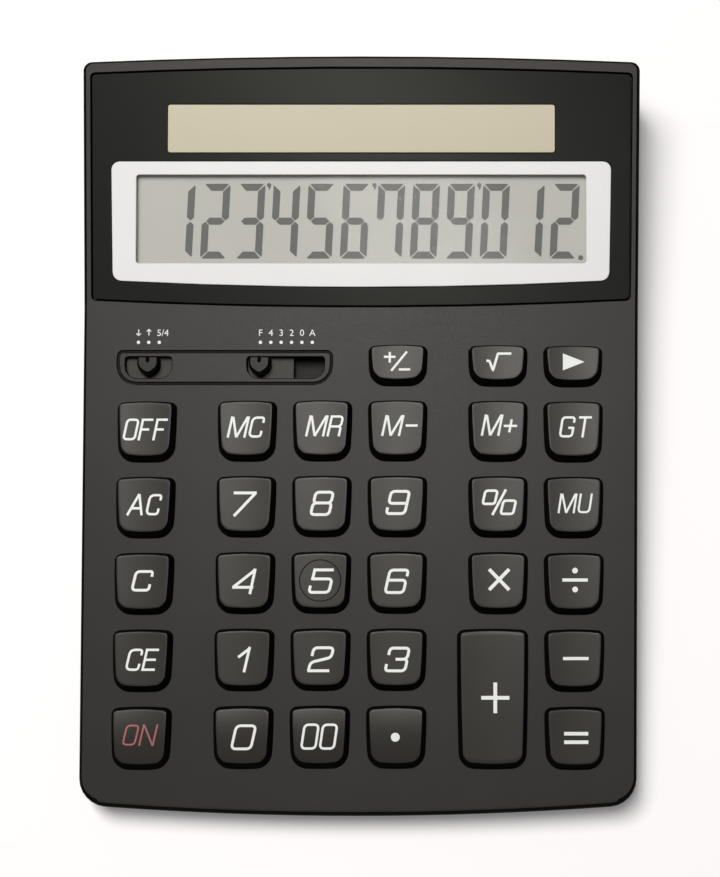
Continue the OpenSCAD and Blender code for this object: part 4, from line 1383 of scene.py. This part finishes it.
def slider_plate(low, high):
    """The plate under the deck that the knob rides on, with its heel."""
    wide = high.x - low.x
    size = (wide, PLATE_D, FLANGE_TOP - FLANGE_BOTTOM)
    place = (0, 0, (FLANGE_TOP + FLANGE_BOTTOM) / 2)
    plate = start_shape(bpy.ops.mesh.primitive_cube_add, "slider_plate", size, place)
    edit(plate)
    pick(stands_up)
    bpy.ops.mesh.bevel(offset=PLATE_R, segments=4, affect="EDGES")
    pick(lambda face: face.normal.z < -0.9, "faces")
    bpy.ops.mesh.inset(thickness=HEEL_IN)
    bpy.ops.transform.resize(value=(HEEL_W / wide, 1, 1), center_override=(0, 0, FLANGE_BOTTOM))
    bpy.ops.mesh.extrude_region_move(TRANSFORM_OT_translate={"value": (0, 0, low.z - FLANGE_BOTTOM)})
    leave()
    return plate


def scale_marks():
    """The dots and plain scale marks over the two switches."""
    parts = [spot("scale", u, DOT_V, DOT_R, 16) for u in (*ROUND_DOTS, *DECIMAL_DOTS)]
    parts += [scale_text(mark, u, MARK_V) for mark, u in zip("F4320A", DECIMAL_DOTS)]
    parts.append(scale_text("5/4", HALF_MARK_U, MARK_V))
    parts += [step_arrow(u, MARK_V + ARROW_RISE, way) for u, way in zip(ROUND_DOTS, (-1, 1))]
    obj = joined("switch_scale_print", parts)
    face_up(obj)
    thickened(obj, INK_T, 0)
    placed(obj, DECK @ Matrix.Translation((0, 0, INK_LIFT)))
    return dressed(obj, "case", finishes=[INK])


def scale_text(mark, u, v):
    """A plain mark in Blender's own letters."""
    bpy.ops.object.select_all(action="DESELECT")
    bpy.ops.object.text_add()
    text = bpy.context.object
    text.data.body = mark
    text.data.align_x = "CENTER"
    text.data.size = MARK_SIZE
    text.data.resolution_u = 4
    bpy.ops.object.convert(target="MESH")
    return placed(started("scale"), Matrix.Translation((u, v, 0)))


def step_arrow(u, v, way):
    """A small arrow: rounding down or up."""
    strokes = [
        (False, [Vector((u, v - 0.85 * MM)), Vector((u, v + 0.85 * MM))]),
        (False, [Vector((u - 0.6 * MM, v + way * 0.25 * MM)), Vector((u, v + way * 0.9 * MM))]),
        (False, [Vector((u + 0.6 * MM, v + way * 0.25 * MM)), Vector((u, v + way * 0.9 * MM))]),
    ]
    return drawn_strokes("scale", strokes, 0.3 * MM)


# Light, floor and camera


def camera():
    """The photograph's view: from above, a little in front and to the right, its frame shifted back."""
    lean = math.radians(10.88)
    aim = DECK @ Vector((0.06 * MM, 102.45 * MM, 0))
    aside = Vector((33.68 * MM, 0, 0))
    distance = 504.1 * MM
    back = Vector((0, -math.sin(lean), math.cos(lean)))
    data = bpy.data.cameras.new("camera")
    data.sensor_fit = "HORIZONTAL"
    data.sensor_width = 36
    data.lens = 91.57
    data.shift_x = -0.1703
    data.clip_start = 0.01
    obj = bpy.data.objects.new("camera", data)
    bpy.context.scene.collection.objects.link(obj)
    turn = Matrix.Rotation(lean, 4, "X")
    obj.matrix_world = Matrix.Translation(aim + back * distance + aside) @ turn
    bpy.context.scene.camera = obj


FLOOR_GLOW = 0.155


def floor():
    """A plain pale floor, which glows a little where the camera or a reflection sees it."""
    bpy.ops.object.select_all(action="DESELECT")
    bpy.ops.mesh.primitive_plane_add(size=12)
    obj = started("floor")
    finish = Finish("floor_white", 0.9, specular=0.1)
    finish.paint(finish.ramp(finish.noise(0.4), (0.3, tone(250, 246, 245)), (0.7, tone(252, 248, 247))))
    rays = finish.nodes.new("ShaderNodeLightPath").outputs
    seen = finish.maths("MAXIMUM", rays["Is Camera Ray"], rays["Is Glossy Ray"])
    seen = finish.maths("MAXIMUM", seen, rays["Is Transmission Ray"])
    glow = finish.nodes.new("ShaderNodeEmission")
    glow.inputs["Color"].default_value = (1, 1, 1, 1)
    finish.links.new(finish.maths("MULTIPLY", seen, FLOOR_GLOW), glow.inputs["Strength"])
    both = finish.nodes.new("ShaderNodeAddShader")
    finish.links.new(finish.shader.outputs["BSDF"], both.inputs[0])
    finish.links.new(glow.outputs["Emission"], both.inputs[1])
    finish.links.new(both.outputs["Shader"], finish.nodes["Material Output"].inputs["Surface"])
    obj.data.materials.append(finish.material)


def softbox(name, place, size, power, sheen=True):
    """A soft lamp that points at the origin, with or without its reflection on the object."""
    data = bpy.data.lights.new(name, "AREA")
    data.shape = "RECTANGLE"
    data.size, data.size_y = size
    data.energy = power
    obj = bpy.data.objects.new(name, data)
    bpy.context.scene.collection.objects.link(obj)
    turn = (-Vector(place)).to_track_quat("-Z", "Y").to_matrix().to_4x4()
    obj.matrix_world = Matrix.Translation(place) @ turn
    obj.visible_glossy = sheen


def lights():
    """Soft studio light: a pale world, a lamp for the shadow and one for the sheen."""
    world = bpy.data.worlds.new("studio")
    bpy.context.scene.world = world
    world.use_nodes = True
    sky = world.node_tree.nodes["Background"]
    sky.inputs["Color"].default_value = (1, 1, 1, 1)
    sky.inputs["Strength"].default_value = 0.1
    softbox("shadow_lamp", place=(-0.185, 0.16, 1.0), size=(0.3, 0.52), power=6.4, sheen=False)
    softbox("sheen_softbox", place=(-0.09, 0.205, 1.04), size=(0.13, 0.52), power=3.35)
    bpy.context.scene.view_settings.view_transform = "Standard"


finish_inner_nodes()
case_parts()
keys()
display_digits()
knob("rounding_knob", "rounding_knob_cap", "rounding_switch")
knob("decimal_knob", "decimal_knob_cap", "decimal_switch")
scale_marks()
camera()
floor()
lights()
